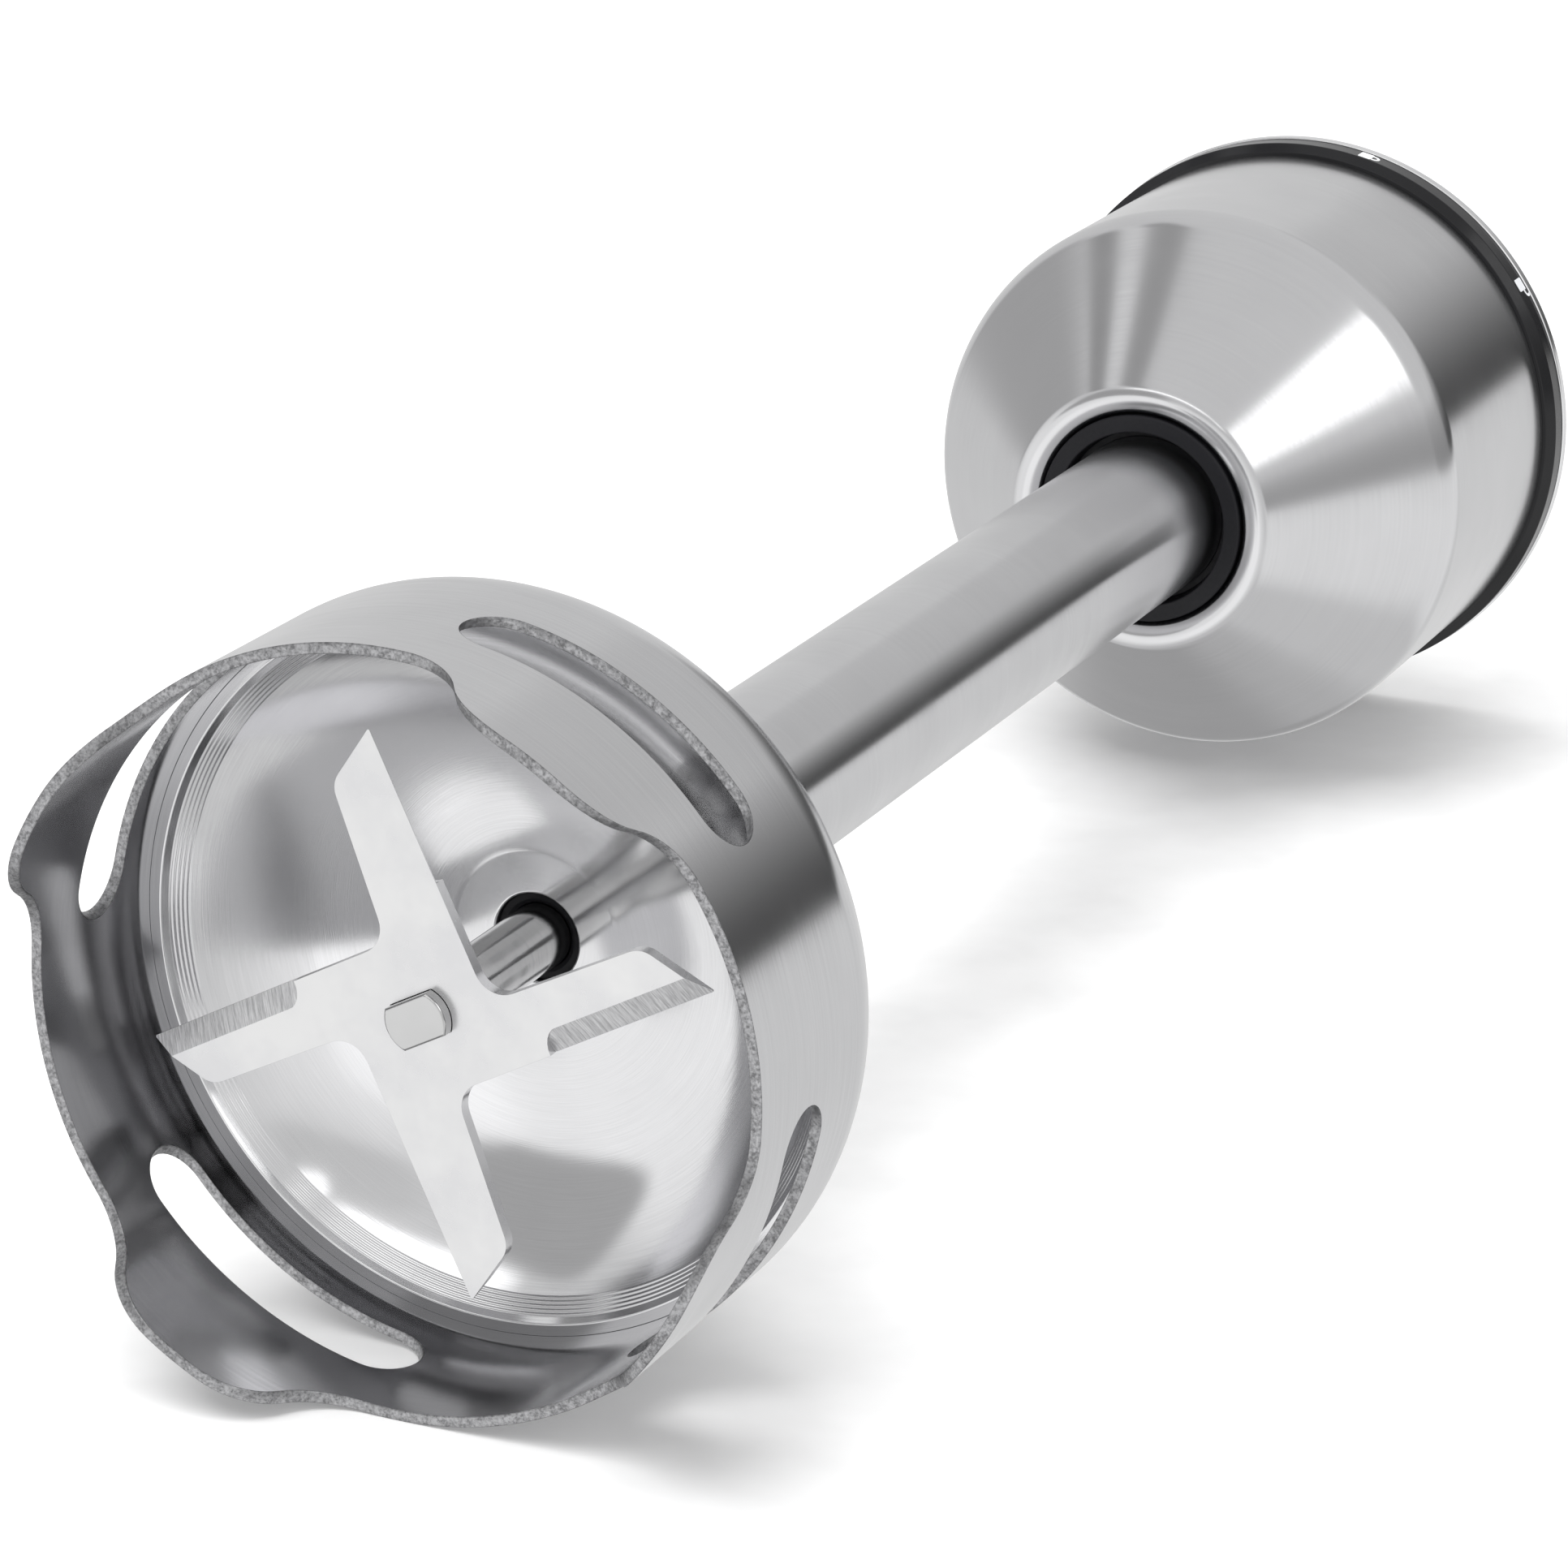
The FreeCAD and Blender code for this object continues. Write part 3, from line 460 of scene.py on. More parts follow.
# Rear face of the blade: the same sheet made far brighter, a painted light standing in for light
# bounced off the bowl onto it.
BLADE_REAR_PAINTED_LIGHT = blade_face("blade_rear_painted_light", 0.94, 0.24, 0.34)
BEVEL = ground_bevel()
RUBBER = plastic("satin_rubber", (0.006, 0.006, 0.008), 0.5, 0.0, 2400.0, 0.12, 0.25)
GLOSS_BLACK = plastic("gloss_black_plastic", (0.004, 0.004, 0.005), 0.18, 0.0, 700.0, 0.03, 0.35)
MATT_BLACK = plastic("moulded_black_plastic", (0.020, 0.020, 0.022), 0.48, 0.0, 1800.0, 0.15)
NYLON = plastic("natural_nylon", (0.66, 0.65, 0.60), 0.45, 0.0, 1500.0, 0.1)
MARK_INK = plastic("mark_ink", (0.72, 0.73, 0.76), 0.45, 0.0, 2500.0, 0.05)
FLOOR_PAINT = plastic("floor_paper", (0.90, 0.90, 0.90), 0.9, 0.0, 300.0, 0.0)


# ---------------------------------------------------------------- blade guard

VALLEY_DEPTH, VALLEY_HALF, FLANK = 6.9, 17.0, 6.5
SLOT_LOW, SLOT_HIGH, SLOT_HALF = 12.6, 19.8, 15.1
SLOT_MID, SLOT_END = (SLOT_LOW + SLOT_HIGH) / 2, (SLOT_HIGH - SLOT_LOW) / 2
DOME_ROUND, DOME_SLOPE, DOME_CORNER = 9.0, math.radians(70.0), 32.5
COLLAR_R, COLLAR_ROUND = 10.0, 4.0
EDGE_BREAK = 0.1                      # how far the sheared edges are rounded
VALLEY_REACH = math.radians(40.5)     # how far from a valley's centre its cut bends the skins


def rim_station(across):
    """Station of the scalloped rim, and its slope, at a distance from a valley's centre."""
    reach = math.sqrt(FLANK * VALLEY_DEPTH - (VALLEY_DEPTH / 2) ** 2)
    crest, foot = VALLEY_HALF + reach, VALLEY_HALF - reach
    if across >= crest:
        return 0.0, 0.0
    if across <= foot:
        return VALLEY_DEPTH, 0.0
    if across >= VALLEY_HALF:
        drop = math.sqrt(FLANK ** 2 - (crest - across) ** 2)
        return FLANK - drop, -(crest - across) / drop
    drop = math.sqrt(FLANK ** 2 - (across - foot) ** 2)
    return VALLEY_DEPTH - FLANK + drop, -(across - foot) / drop


def slot_edge(across, side):
    """Point and outward direction of a slot's edge; side is -1 for its low edge, 1 for its high."""
    straight = SLOT_HALF - SLOT_END
    if across <= straight:
        return SLOT_MID + side * SLOT_END, Vector((0.0, side))
    lean = math.asin(min(1.0, (across - straight) / SLOT_END))
    return SLOT_MID + side * SLOT_END * math.cos(lean), Vector((math.sin(lean), side * math.cos(lean)))


def guard_columns():
    """Angles from a foot's centre to a valley's, close together round the slot's end."""
    straight = SLOT_HALF - SLOT_END
    across = [straight * k / 24 for k in range(24)]
    across += [straight + SLOT_END * math.sin(math.radians(7.5 * k)) for k in range(13)]
    angles = [math.asin(x / GUARD_R) for x in across]
    rest = SECTOR / 2 - angles[-1]
    return angles + [angles[-1] + rest * k / 22 for k in range(1, 23)], len(across)


def skin_angle(angle, radius, share):
    """Angle on a skin of the given radius: cuts run straight through, square to the outside."""
    half = SECTOR / 2
    end = math.asin(SLOT_HALF / GUARD_R)
    by_slot = math.asin(GUARD_R * math.sin(min(angle, end)) / radius) - min(angle, end)
    if angle > end:
        by_slot *= (half - angle) / (half - end)
    valley = min(half - angle, VALLEY_REACH)
    by_rim = valley - math.asin(GUARD_R * math.sin(valley) / radius)
    if half - angle > valley:
        by_rim *= angle / (half - valley)
    return angle + by_rim * (1 - share) + by_slot * share


class Sheet:
    """Mesh under construction, whose coincident points are shared."""

    def __init__(self):
        self.points, self.normals, self.faces, self.marks, self.known = [], [], [], [], {}

    def point(self, at, normal=None):
        key = tuple(round(c * 2e6) for c in at)
        if key not in self.known:
            self.known[key] = len(self.points)
            self.points.append(at)
            self.normals.append(normal)
        return self.known[key]

    def strip(self, first, second, mark, flip=False):
        """Quads between two rows of points."""
        for a, b, c, d in zip(first, first[1:], second[1:], second):
            face = [d, c, b, a] if flip else [a, b, c, d]
            face = [v for i, v in enumerate(face) if v != face[i - 1]]
            if len(face) > 2:
                self.faces.append(face)
                self.marks.append(mark)

    def mesh(self, name):
        made = bpy.data.meshes.new(name)
        made.from_pydata(self.points, [], self.faces)
        made.polygons.foreach_set("material_index", self.marks)
        made.shade_smooth()
        totals = [Vector() for _ in self.points]
        for face in made.polygons:
            for v in face.vertices:
                totals[v] += face.normal
        normals = [n or total.normalized() for n, total in zip(self.normals, totals)]
        made.normals_split_custom_set_from_vertices(normals)
        return made


def arc(centre, radius, start, end, pieces):
    """Section points round a centre, with the angle measured from outwards to rearwards."""
    angles = [math.radians(start + (end - start) * k / pieces) for k in range(pieces + 1)]
    return [((centre[0] + radius * math.cos(a), centre[1] + radius * math.sin(a)),
             (math.cos(a), math.sin(a))) for a in angles]


def guard_profile(offset):
    """Section of the dome and collar, with normals, offset inwards from the outside."""
    lean = math.degrees(DOME_SLOPE)
    start = DOME_CORNER - DOME_ROUND * math.tan(DOME_SLOPE / 2)
    centre = (GUARD_R - DOME_ROUND, start)
    rise = 1 / math.tan(DOME_SLOPE)
    foot = DOME_CORNER + (GUARD_R - COLLAR_R) * rise
    hollow = (COLLAR_R + COLLAR_ROUND, foot + COLLAR_ROUND * math.tan(DOME_SLOPE / 2))
    profile = arc(centre, DOME_ROUND - offset, 0, lean, 18)
    turn = arc(hollow, COLLAR_ROUND + offset, 180 + lean, 180, 12)
    turn = [(at, (-n[0], -n[1])) for at, n in turn]
    last, first = Vector(profile[-1][0]), Vector(turn[0][0])
    cone = [(tuple(last.lerp(first, k / 8)), profile[-1][1]) for k in range(1, 8)]
    top = COLLAR_END - EDGE_BREAK
    collar = [((COLLAR_R - offset, turn[-1][0][1] + (top - turn[-1][0][1]) * k / 4), (1, 0))
              for k in range(1, 5)]
    return profile + cone + turn + collar


def guard_sector(sheet, middle, side):
    """Half a sector, from a foot's centre to a valley's, on the given side of the foot."""
    columns, slotted = guard_columns()
    half = SECTOR / 2
    flip = side < 0
    skins = {}
    for radius, sign in ((GUARD_R, 1), (GUARD_R - GUARD_WALL, -1)):
        def spot(angle, at, r=radius):
            return place(r, middle + side * angle, at)

        def flat(angle, s=sign):
            beta = middle + side * angle
            return Vector((s * math.sin(beta), 0, s * math.cos(beta)))

        low_rows, high_rows = [], []
        lower, upper = 9, 6
        for index, angle in enumerate(columns):
            across = GUARD_R * math.sin(half - angle)
            rim, slope = rim_station(across)
            tilt = math.hypot(1, slope)
            rim_move = Vector((slope / tilt, 1 / tilt)) * EDGE_BREAK
            rim_angle = skin_angle(angle, radius, 0) + rim_move.x / radius
            slot_angle = skin_angle(angle, radius, 1)
            ends = []
            for edge in (-1, 1):
                if index < slotted:
                    at, away = slot_edge(GUARD_R * math.sin(angle), edge)
                    ends.append((slot_angle + away.x * EDGE_BREAK / radius,
                                 at + away.y * EDGE_BREAK))
                else:
                    ends.append((slot_angle, SLOT_MID))
            dome_start = guard_profile(0)[0][0][1]
            for rows, count, low, high in (
                    (low_rows, lower, (rim_angle, rim + rim_move.y), ends[0]),
                    (high_rows, upper, ends[1], (angle, dome_start))):
                column = []
                for k in range(count + 1):
                    share = k / count
                    here = low[0] + (high[0] - low[0]) * share
                    column.append(sheet.point(spot(here, low[1] + (high[1] - low[1]) * share),
                                              flat(here)))
                rows.append(column)
        for rows in (low_rows, high_rows):
            lines = list(zip(*rows))
            for below, above in zip(lines, lines[1:]):
                sheet.strip(below, above, 0 if sign > 0 else 1, flip != (sign < 0))
        skins[sign] = ([c[0] for c in low_rows], [c[-1] for c in low_rows][:slotted],
                       [c[0] for c in high_rows][:slotted])
        lines = []
        for (r, at), (nr, ns) in guard_profile(0 if sign > 0 else GUARD_WALL):
            line = []
            for angle in columns:
                beta = middle + side * angle
                normal = Vector((nr * math.sin(beta), ns, nr * math.cos(beta))) * sign
                line.append(sheet.point(place(r, beta, at), normal))
            lines.append(line)
        for below, above in zip(lines, lines[1:]):
            sheet.strip(below, above, 0 if sign > 0 else 1, flip != (sign < 0))
        skins[sign] += (lines[-1],)
    cut_faces(sheet, columns, slotted, middle, side, skins, flip)


def cut_faces(sheet, columns, slotted, middle, side, skins, flip):
    """Sheared faces between the two skins: the rim, both edges of the slot, the collar's end."""
    nick = EDGE_BREAK * 0.3
    insets = (nick, EDGE_BREAK, GUARD_WALL - EDGE_BREAK, GUARD_WALL - nick)
    backs = (nick, 0, 0, nick)
    half = SECTOR / 2
    for which in range(3):
        count = len(columns) if which == 0 else slotted
        lines = [skins[1][which]]
        for inset, back in zip(insets, backs):
            radius = GUARD_R - inset
            line = []
            for angle in columns[:count]:
                if which == 0:
                    at, slope = rim_station(GUARD_R * math.sin(half - angle))
                    tilt = math.hypot(1, slope)
                    away = Vector((slope / tilt, 1 / tilt))
                    here = skin_angle(angle, radius, 0)
                else:
                    at, away = slot_edge(GUARD_R * math.sin(angle), (-1, 1)[which - 1])
                    here = skin_angle(angle, radius, 1)
                line.append(sheet.point(place(radius, middle + side * (here + away.x * back / radius),
                                              at + away.y * back)))
            lines.append(line)
        lines.append(skins[-1][which])
        for outer, inner in zip(lines, lines[1:]):
            sheet.strip(outer, inner, 2, flip == (which != 1))
    lines = [skins[1][3]]
    for inset, back in zip(insets, backs):
        lines.append([sheet.point(place(COLLAR_R - inset, middle + side * angle, COLLAR_END - back))
                      for angle in columns])
    lines.append(skins[-1][3])
    for outer, inner in zip(lines, lines[1:]):
        sheet.strip(outer, inner, 0, flip)


def make_guard():
    sheet = Sheet()
    for foot in range(FEET):
        for side in (-1, 1):
            guard_sector(sheet, FOOT_TURN + SECTOR * foot, side)
    return new_piece("blade_guard", sheet.mesh("blade_guard"), [SATIN, SHADED_INNER_STEEL, CUT_EDGE],
                     "root", ["bell_guard"])


# ---------------------------------------------------------------- floor, shaft and seal

FLOOR_RIM, FLOOR_RIM_AT, FLOOR_LAND = 32.4, 25.43, 24.8
HUB_MOUTH, HUB_MOUTH_AT, HUB_COLLAR, HUB_BACK = 4.1, 34.3, 4.9, 38.0
FLOOR_SHEET = 0.85
BOWL_RISE, BOWL_ROUND = 0.884, 30.0
BEADS, BEAD_PITCH, BEAD_HEIGHT = 5, 0.3, 0.025
FOLD_R, FOLD_STEP = 7.9, 0.03         # faint ring that the press left about the mouth


def bowl_front(r):
    """Station of the bowl's front at a radius: flat, then an arc, then a short straight slope."""
    lean = math.atan(BOWL_RISE)
    corner = FLOOR_RIM - (HUB_MOUTH_AT - FLOOR_RIM_AT) / BOWL_RISE
    reach = BOWL_ROUND * math.tan(lean / 2)
    start, end = corner - reach, corner + reach * math.cos(lean)
    if r <= start:
        return HUB_MOUTH_AT
    if r >= end:
        return FLOOR_RIM_AT + (FLOOR_RIM - r) * BOWL_RISE
    return HUB_MOUTH_AT - BOWL_ROUND + math.sqrt(BOWL_ROUND ** 2 - (r - start) ** 2)


def make_floor():
    """Pressed bowl with fine beads just inside its rim."""
    wall = GUARD_R - GUARD_WALL
    sheet = FLOOR_SHEET * math.hypot(1, BOWL_RISE)
    inner, outer = FOLD_R + 0.2, FLOOR_RIM - BEADS * BEAD_PITCH
    corners = [(HUB_COLLAR, HUB_BACK, 0.1), (HUB_MOUTH, HUB_BACK, 0.1),
               (HUB_MOUTH, HUB_MOUTH_AT, 0.28), (FOLD_R, HUB_MOUTH_AT, 0),
               (inner, HUB_MOUTH_AT + FOLD_STEP, 0)]
    arc_steps, bead_steps = 48, 8
    for k in range(1, arc_steps + 1):
        r = inner + (outer - inner) * k / arc_steps
        corners.append((r, bowl_front(r) + FOLD_STEP * (1 - k / arc_steps), 0))
    for k in range(1, BEADS * bead_steps):
        r = outer + BEAD_PITCH * k / bead_steps
        rise = BEAD_HEIGHT * (1 - math.cos(math.tau * k / bead_steps)) / 2
        corners.append((r, bowl_front(r) - rise, 0))
    corners += [(FLOOR_RIM, FLOOR_RIM_AT, 0.2), (FLOOR_RIM + 0.5, FLOOR_LAND, 0.25),
                (wall, FLOOR_LAND, 0.05), (wall, FLOOR_LAND + 1.4, 0.1)]
    corners += [(r, bowl_front(r) + sheet, 0) for r in (wall - 1.2, 29.0, 26.0, 23.0, 20.0)]
    corners += [(12.0, HUB_MOUTH_AT + FLOOR_SHEET, 0),
                (HUB_COLLAR, HUB_MOUTH_AT + FLOOR_SHEET, 0.3)]
    lathe("dished_floor", corners, DISH, "root", ["bell_floor"], 288)


SEAL_FACE, SEAL_LIP_AT, SEAL_BACK, SEAL_R = 34.9, 35.15, 42.0, 5.5


def make_lip_seal():
    lip = SHAFT_R + 0.05
    lathe("lip_seal", [
        (lip, SEAL_BACK, 0.1), (lip, SEAL_LIP_AT, 0.1), (SHAFT_R + 0.45, SEAL_FACE, 0.15),
        (HUB_MOUTH, SEAL_FACE, 0.1), (HUB_MOUTH, HUB_BACK, 0.1), (SEAL_R, HUB_BACK, 0.1),
        (SEAL_R, SEAL_BACK, 0.1),
    ], RUBBER, "root", ["shaft_lip_seal"], 128)


TENON_FRONT, TENON_FLATS, TENON_TURN = 11.9, 4.0, math.radians(62.1)
SHAFT_END = 212.0
PIN_AT, PIN_R, PIN_BORE = 208.5, 1.0, 14.0


def tenon_turns(sides):
    """Angles round the tenon, with its four corners among them."""
    corner = math.asin(TENON_FLATS / 2 / SHAFT_R)
    return sorted({math.tau * k / sides for k in range(sides)}
                  | {(a + b) % math.tau for a in (0, math.pi) for b in (corner, -corner)})


def tenon_radius(turn, grow):
    """Radius of the double-D section at an angle, grown all round by grow."""
    return min(SHAFT_R + grow, (TENON_FLATS / 2 + grow) / max(1e-6, abs(math.sin(turn))))


def make_shaft():
    """Round shaft whose front end is a double-D tenon with a chamfered nose."""
    turns = tenon_turns(96)
    nose = ((0.0, 0.2), (0.03, 0.14), (0.14, 0.03), (0.2, 0.0))
    rounds = [(TENON_FRONT + back, [tenon_radius(a, -shrink) for a in turns])
              for back, shrink in nose]
    rounds.append((BLADE_BACK, [tenon_radius(a, 0.0) for a in turns]))
    rounds += [(BLADE_BACK, [SHAFT_R] * len(turns)), (SHAFT_END - 0.4, [SHAFT_R] * len(turns)),
               (SHAFT_END, [SHAFT_R - 0.4] * len(turns))]
    points, faces = [], []
    for at, radii in rounds:
        points += [place(r, a + TENON_TURN, at) for r, a in zip(radii, turns)]
    count = len(turns)
    for ring in range(len(rounds) - 1):
        for i in range(count):
            j = (i + 1) % count
            base = ring * count
            faces.append((base + i, base + j, base + count + j, base + count + i))
    faces.append(tuple(reversed(range(count))))
    faces.append(tuple(range((len(rounds) - 1) * count, len(rounds) * count)))
    mesh = bpy.data.meshes.new("rotor_shaft")
    mesh.from_pydata(points, [], faces)
    tidy_normals(mesh)
    piece = new_piece("rotor_shaft", mesh, [SHAFT_STEEL], "rotor", ["drive_shaft"])
    carve(piece, [rod_tool(place(0, 0, PIN_AT), Vector((1, 0, 0)), PIN_R, PIN_BORE)])
    sharp_by_angle(piece.data, 25)


def tidy_normals(mesh):
    bm = bmesh.new()
    bm.from_mesh(mesh)
    bmesh.ops.remove_doubles(bm, verts=bm.verts, dist=1e-7)
    bmesh.ops.recalc_face_normals(bm, faces=bm.faces)
    bm.to_mesh(mesh)
    bm.free()


def sharp_by_angle(mesh, degrees):
    mesh.shade_smooth()
    mesh.set_sharp_from_angle(angle=math.radians(degrees))


def rod_tool(at, along, radius, length, sides=48):
    bm = bmesh.new()
    bmesh.ops.create_cone(bm, cap_ends=True, segments=sides, radius1=radius * MM,
                          radius2=radius * MM, depth=length * MM)
    bm.transform(Matrix.Translation(at) @ along.to_track_quat("Z", "Y").to_matrix().to_4x4())
    mesh = bpy.data.meshes.new("tool")
    bm.to_mesh(mesh)
    bm.free()
    return mesh


def carve(piece, tools):
    """Cuts tool meshes out of a piece, for good."""
    for tool in tools:
        cutter = bpy.data.objects.new("cutter", tool)
        bpy.context.collection.objects.link(cutter)
        cutting = piece.modifiers.new("cut", "BOOLEAN")
        cutting.object = cutter
        cutting.operation = "DIFFERENCE"
        cutting.solver = "EXACT"
        graph = bpy.context.evaluated_depsgraph_get()
        made = bpy.data.meshes.new_from_object(piece.evaluated_get(graph))
        piece.modifiers.clear()
        piece.data = made
        bpy.data.objects.remove(cutter)


# ---------------------------------------------------------------- cross blade

BLADE_TURN = math.radians(-9.75)      # beta of the first arm's length
LONG_ARM = ((22.28, -6.10), (28.0, -1.9), (2.05, 6.71))
SHORT_ARM = ((21.0, -4.58), (25.8, 0.0), (1.36, 6.83))
ROOT_ROUND, CORNER_ROUND = 2.6, 2.2
ARMS = (SHORT_ARM, LONG_ARM, SHORT_ARM, LONG_ARM)
BEVEL_WIDTH, BEVEL_START, EDGE_LAND = 2.1, 12.0, 0.12


def blade_place(along, across, at, turn):
    """Point of the blade, from its place along and across an arm."""
    beta = BLADE_TURN + turn
    x = along * math.sin(beta) + across * math.cos(beta)
    z = along * math.cos(beta) - across * math.sin(beta)
    return Vector((x * MM, FEET_Y + at * MM, z * MM))


def arm_outline():
    """Blade outline as (along, across, turn, round) corners, arm by arm."""
    corners = []
    for index, (blunt, tip, root) in enumerate(ARMS):
        turn = index * math.pi / 2
        corners += [(blunt, turn, CORNER_ROUND), (tip, turn, 0.12), (root, turn, ROOT_ROUND)]
    return corners


def flat_outline():
    """The outline in the plane of the first arm, with its corners rounded."""
    corners = []
    for (u, v), turn, size in arm_outline():
        c, s = math.cos(turn), math.sin(turn)
        corners.append((u * c - v * s, u * s + v * c, size))
    return rounded(corners, math.radians(10))


def grind_tool(arm, turn, on_front):
    """Wedge that the wheel takes off an arm's sharp side, with a round start."""
    _, tip, root = arm
    tip, root = Vector(tip), Vector(root)
    along = (tip - root).normalized()
    inward = Vector((along.y, -along.x))
    start = root + along * ((BEVEL_START - root.x) / along.x)
    past_tip, overrun, clear = 6.0, 1.0, 0.6
    length = (tip - start).length + past_tip
    deep = BLADE_BACK - BLADE_FRONT - EDGE_LAND
    slope = deep / BEVEL_WIDTH
    plan = []
    for k in range(7):
        a = math.radians(90 * k / 6)
        plan.append((BEVEL_WIDTH * 0.8 * (1 - math.cos(a)), BEVEL_WIDTH * math.sin(a)))
    plan += [(length, BEVEL_WIDTH), (length, -overrun), (0.0, -overrun)]
    points = []
    for far in (False, True):
        for u, v in plan:
            spot = start + along * u + inward * v
            depth = -clear if far else deep - v * slope
            at = BLADE_FRONT + depth if on_front else BLADE_BACK - depth
            points.append(blade_place(spot.x, spot.y, at, turn))
    return prism("tool", points)


def make_blade():
    outline = flat_outline()
    points = [blade_place(p.x, p.y, at, 0) for at in (BLADE_FRONT, BLADE_BACK) for p in outline]
    piece = new_piece("blade_cross", prism("cross_blade", points), [BLADE, BEVEL, BLADE_REAR_PAINTED_LIGHT],
                      "rotor", ["cross_blade"])
    tools = [tenon_tool()]
    for index, arm in enumerate(ARMS):
        tools.append(grind_tool(arm, index * math.pi / 2, arm is LONG_ARM))
    carve(piece, tools)
    finish_blade(piece)


def tenon_tool():
    """The hole that the shaft's tenon fills, with a hair of clearance."""
    clearance = 0.05
    return prism("tool", [place(tenon_radius(a, clearance), a + TENON_TURN, at)
                          for at in (BLADE_FRONT - 1, BLADE_BACK + 1) for a in tenon_turns(64)])


def finish_blade(piece):
    """Marks the ground faces, lays the grinding direction in a UV map and breaks the edges."""
    mesh = piece.data
    bm = bmesh.new()
    bm.from_mesh(mesh)
    bmesh.ops.dissolve_limit(bm, angle_limit=math.radians(0.3), verts=bm.verts, edges=bm.edges)
    uv = bm.loops.layers.uv.new("grind")
    for face in bm.faces:
        centre = face.calc_center_median()
        beta = math.atan2(centre.x, centre.z) - BLADE_TURN
        index = round(beta / (math.pi / 2)) % 4
        arm = ARMS[index]
        edge = (Vector(arm[1]) - Vector(arm[2])).normalized()
        ahead = blade_place(edge.x, edge.y, 0, index * math.pi / 2) - blade_place(0, 0, 0, 0)
        aside = blade_place(-edge.y, edge.x, 0, index * math.pi / 2) - blade_place(0, 0, 0, 0)
        for loop in face.loops:
            loop[uv].uv = (loop.vert.co.dot(ahead) / MM, loop.vert.co.dot(aside) / MM)
        slant = abs(face.normal.y)
        if 0.5 < slant < 0.97:
            face.material_index = 1
        else:
            face.material_index = 2 if face.normal.y > 0.9 else 0
    bm.to_mesh(mesh)
    bm.free()
    break_edges(piece, 0.06, 20)
    mesh.shade_smooth()


# ---------------------------------------------------------------- tube and coupling

TUBE_START, TUBE_END, TUBE_WALL = 41.0, 196.0, 0.8


def make_tube():
    bore = TUBE_R - TUBE_WALL
    lathe("shaft_tube", [
        (TUBE_R, TUBE_START, 0.1), (TUBE_R, TUBE_END, 0.1), (bore, TUBE_END, 0.1),
        (bore, TUBE_START, 0.1),
    ], TUBE_STEEL, "root", ["outer_tube"])


NECK_R, NECK_FACE, NECK_LIP, NECK_BORE = 11.9, 179.2, 181.5, 9.95
SHELL_NOSE, SHELL_RISE, SHELL_WALL, SHELL_ROUND, NOSE_ROUND = 175.7, 1.0355, 0.9, 4.9, 2.0
NOSE_RETURN = 182.0                   # station where the folded nose ends, inside the neck
BOOT_FLANGE_R, BOOT_END = 13.6, 186.0


def make_neck_seal():
    lathe("neck_boot", [
        (TUBE_R, NECK_LIP, 0.08), (NECK_BORE - 0.2, NECK_LIP, 0.15),
        (NECK_BORE, NECK_FACE, 0.2), (NECK_R, NECK_FACE, 0.3), (NECK_R, NOSE_RETURN, 0.1),
        (BOOT_FLANGE_R, NOSE_RETURN, 0.1), (BOOT_FLANGE_R, BOOT_END, 0.1), (TUBE_R, BOOT_END, 0.1),
    ], RUBBER, "root", ["neck_seal"], 192)


def make_shell():
    bore = SHELL_R - SHELL_WALL
    lip = NECK_R + SHELL_WALL
    inside = SHELL_WALL * math.hypot(1, SHELL_RISE)

    def cone(r):
        return SHELL_NOSE + (r - NECK_R) * SHELL_RISE

    lathe("coupling_cover", [
        (NECK_R, SHELL_NOSE, NOSE_ROUND), (SHELL_R, cone(SHELL_R), SHELL_ROUND),
        (SHELL_R, SHELL_END, 0.12), (bore, SHELL_END, 0.12),
        (bore, cone(bore) + inside, SHELL_ROUND - SHELL_WALL),
        (lip, cone(lip) + inside, NOSE_ROUND - SHELL_WALL), (lip, NOSE_RETURN, 0.1),
        (NECK_R, NOSE_RETURN, 0.1),
    ], SHELL_STEEL, "root", ["coupling_shell"], 320)


SOCKET_R = 25.0
CORE_STEP, CORE_STEP_AT = 28.8, 220.0


def make_lock_ring():
    bore = SHELL_R - SHELL_WALL
    lathe("locking_ring", [
        (CORE_STEP, CORE_STEP_AT, 0.1), (bore, CORE_STEP_AT, 0.1), (bore, SHELL_END, 0.05),
        (SHELL_R + 0.4, SHELL_END, 0.15), (RING_R, SHELL_END + 0.9, 0.25), (RING_R, RING_END, 0.15),
        (SOCKET_R, RING_END, 0.2), (SOCKET_R, SHELL_END, 0.05), (CORE_STEP, SHELL_END, 0.05),
    ], GLOSS_BLACK, "root", ["lock_ring"], 320)


MARK_STATION, MARK_PROUD = 230.3, 0.03
MARKS = ((math.radians(14.6), 0.0), (math.radians(57.0), 0.9))   # beta, and open_by below
BODY_HALF, BODY_BOTTOM, BODY_TOP, BODY_ROUND = 0.95, -1.35, 0.2, 0.2
SHACKLE_OUTER, SHACKLE_INNER, SHACKLE_FOOT, SHACKLE_BEND = 0.74, 0.42, 0.2, 0.4


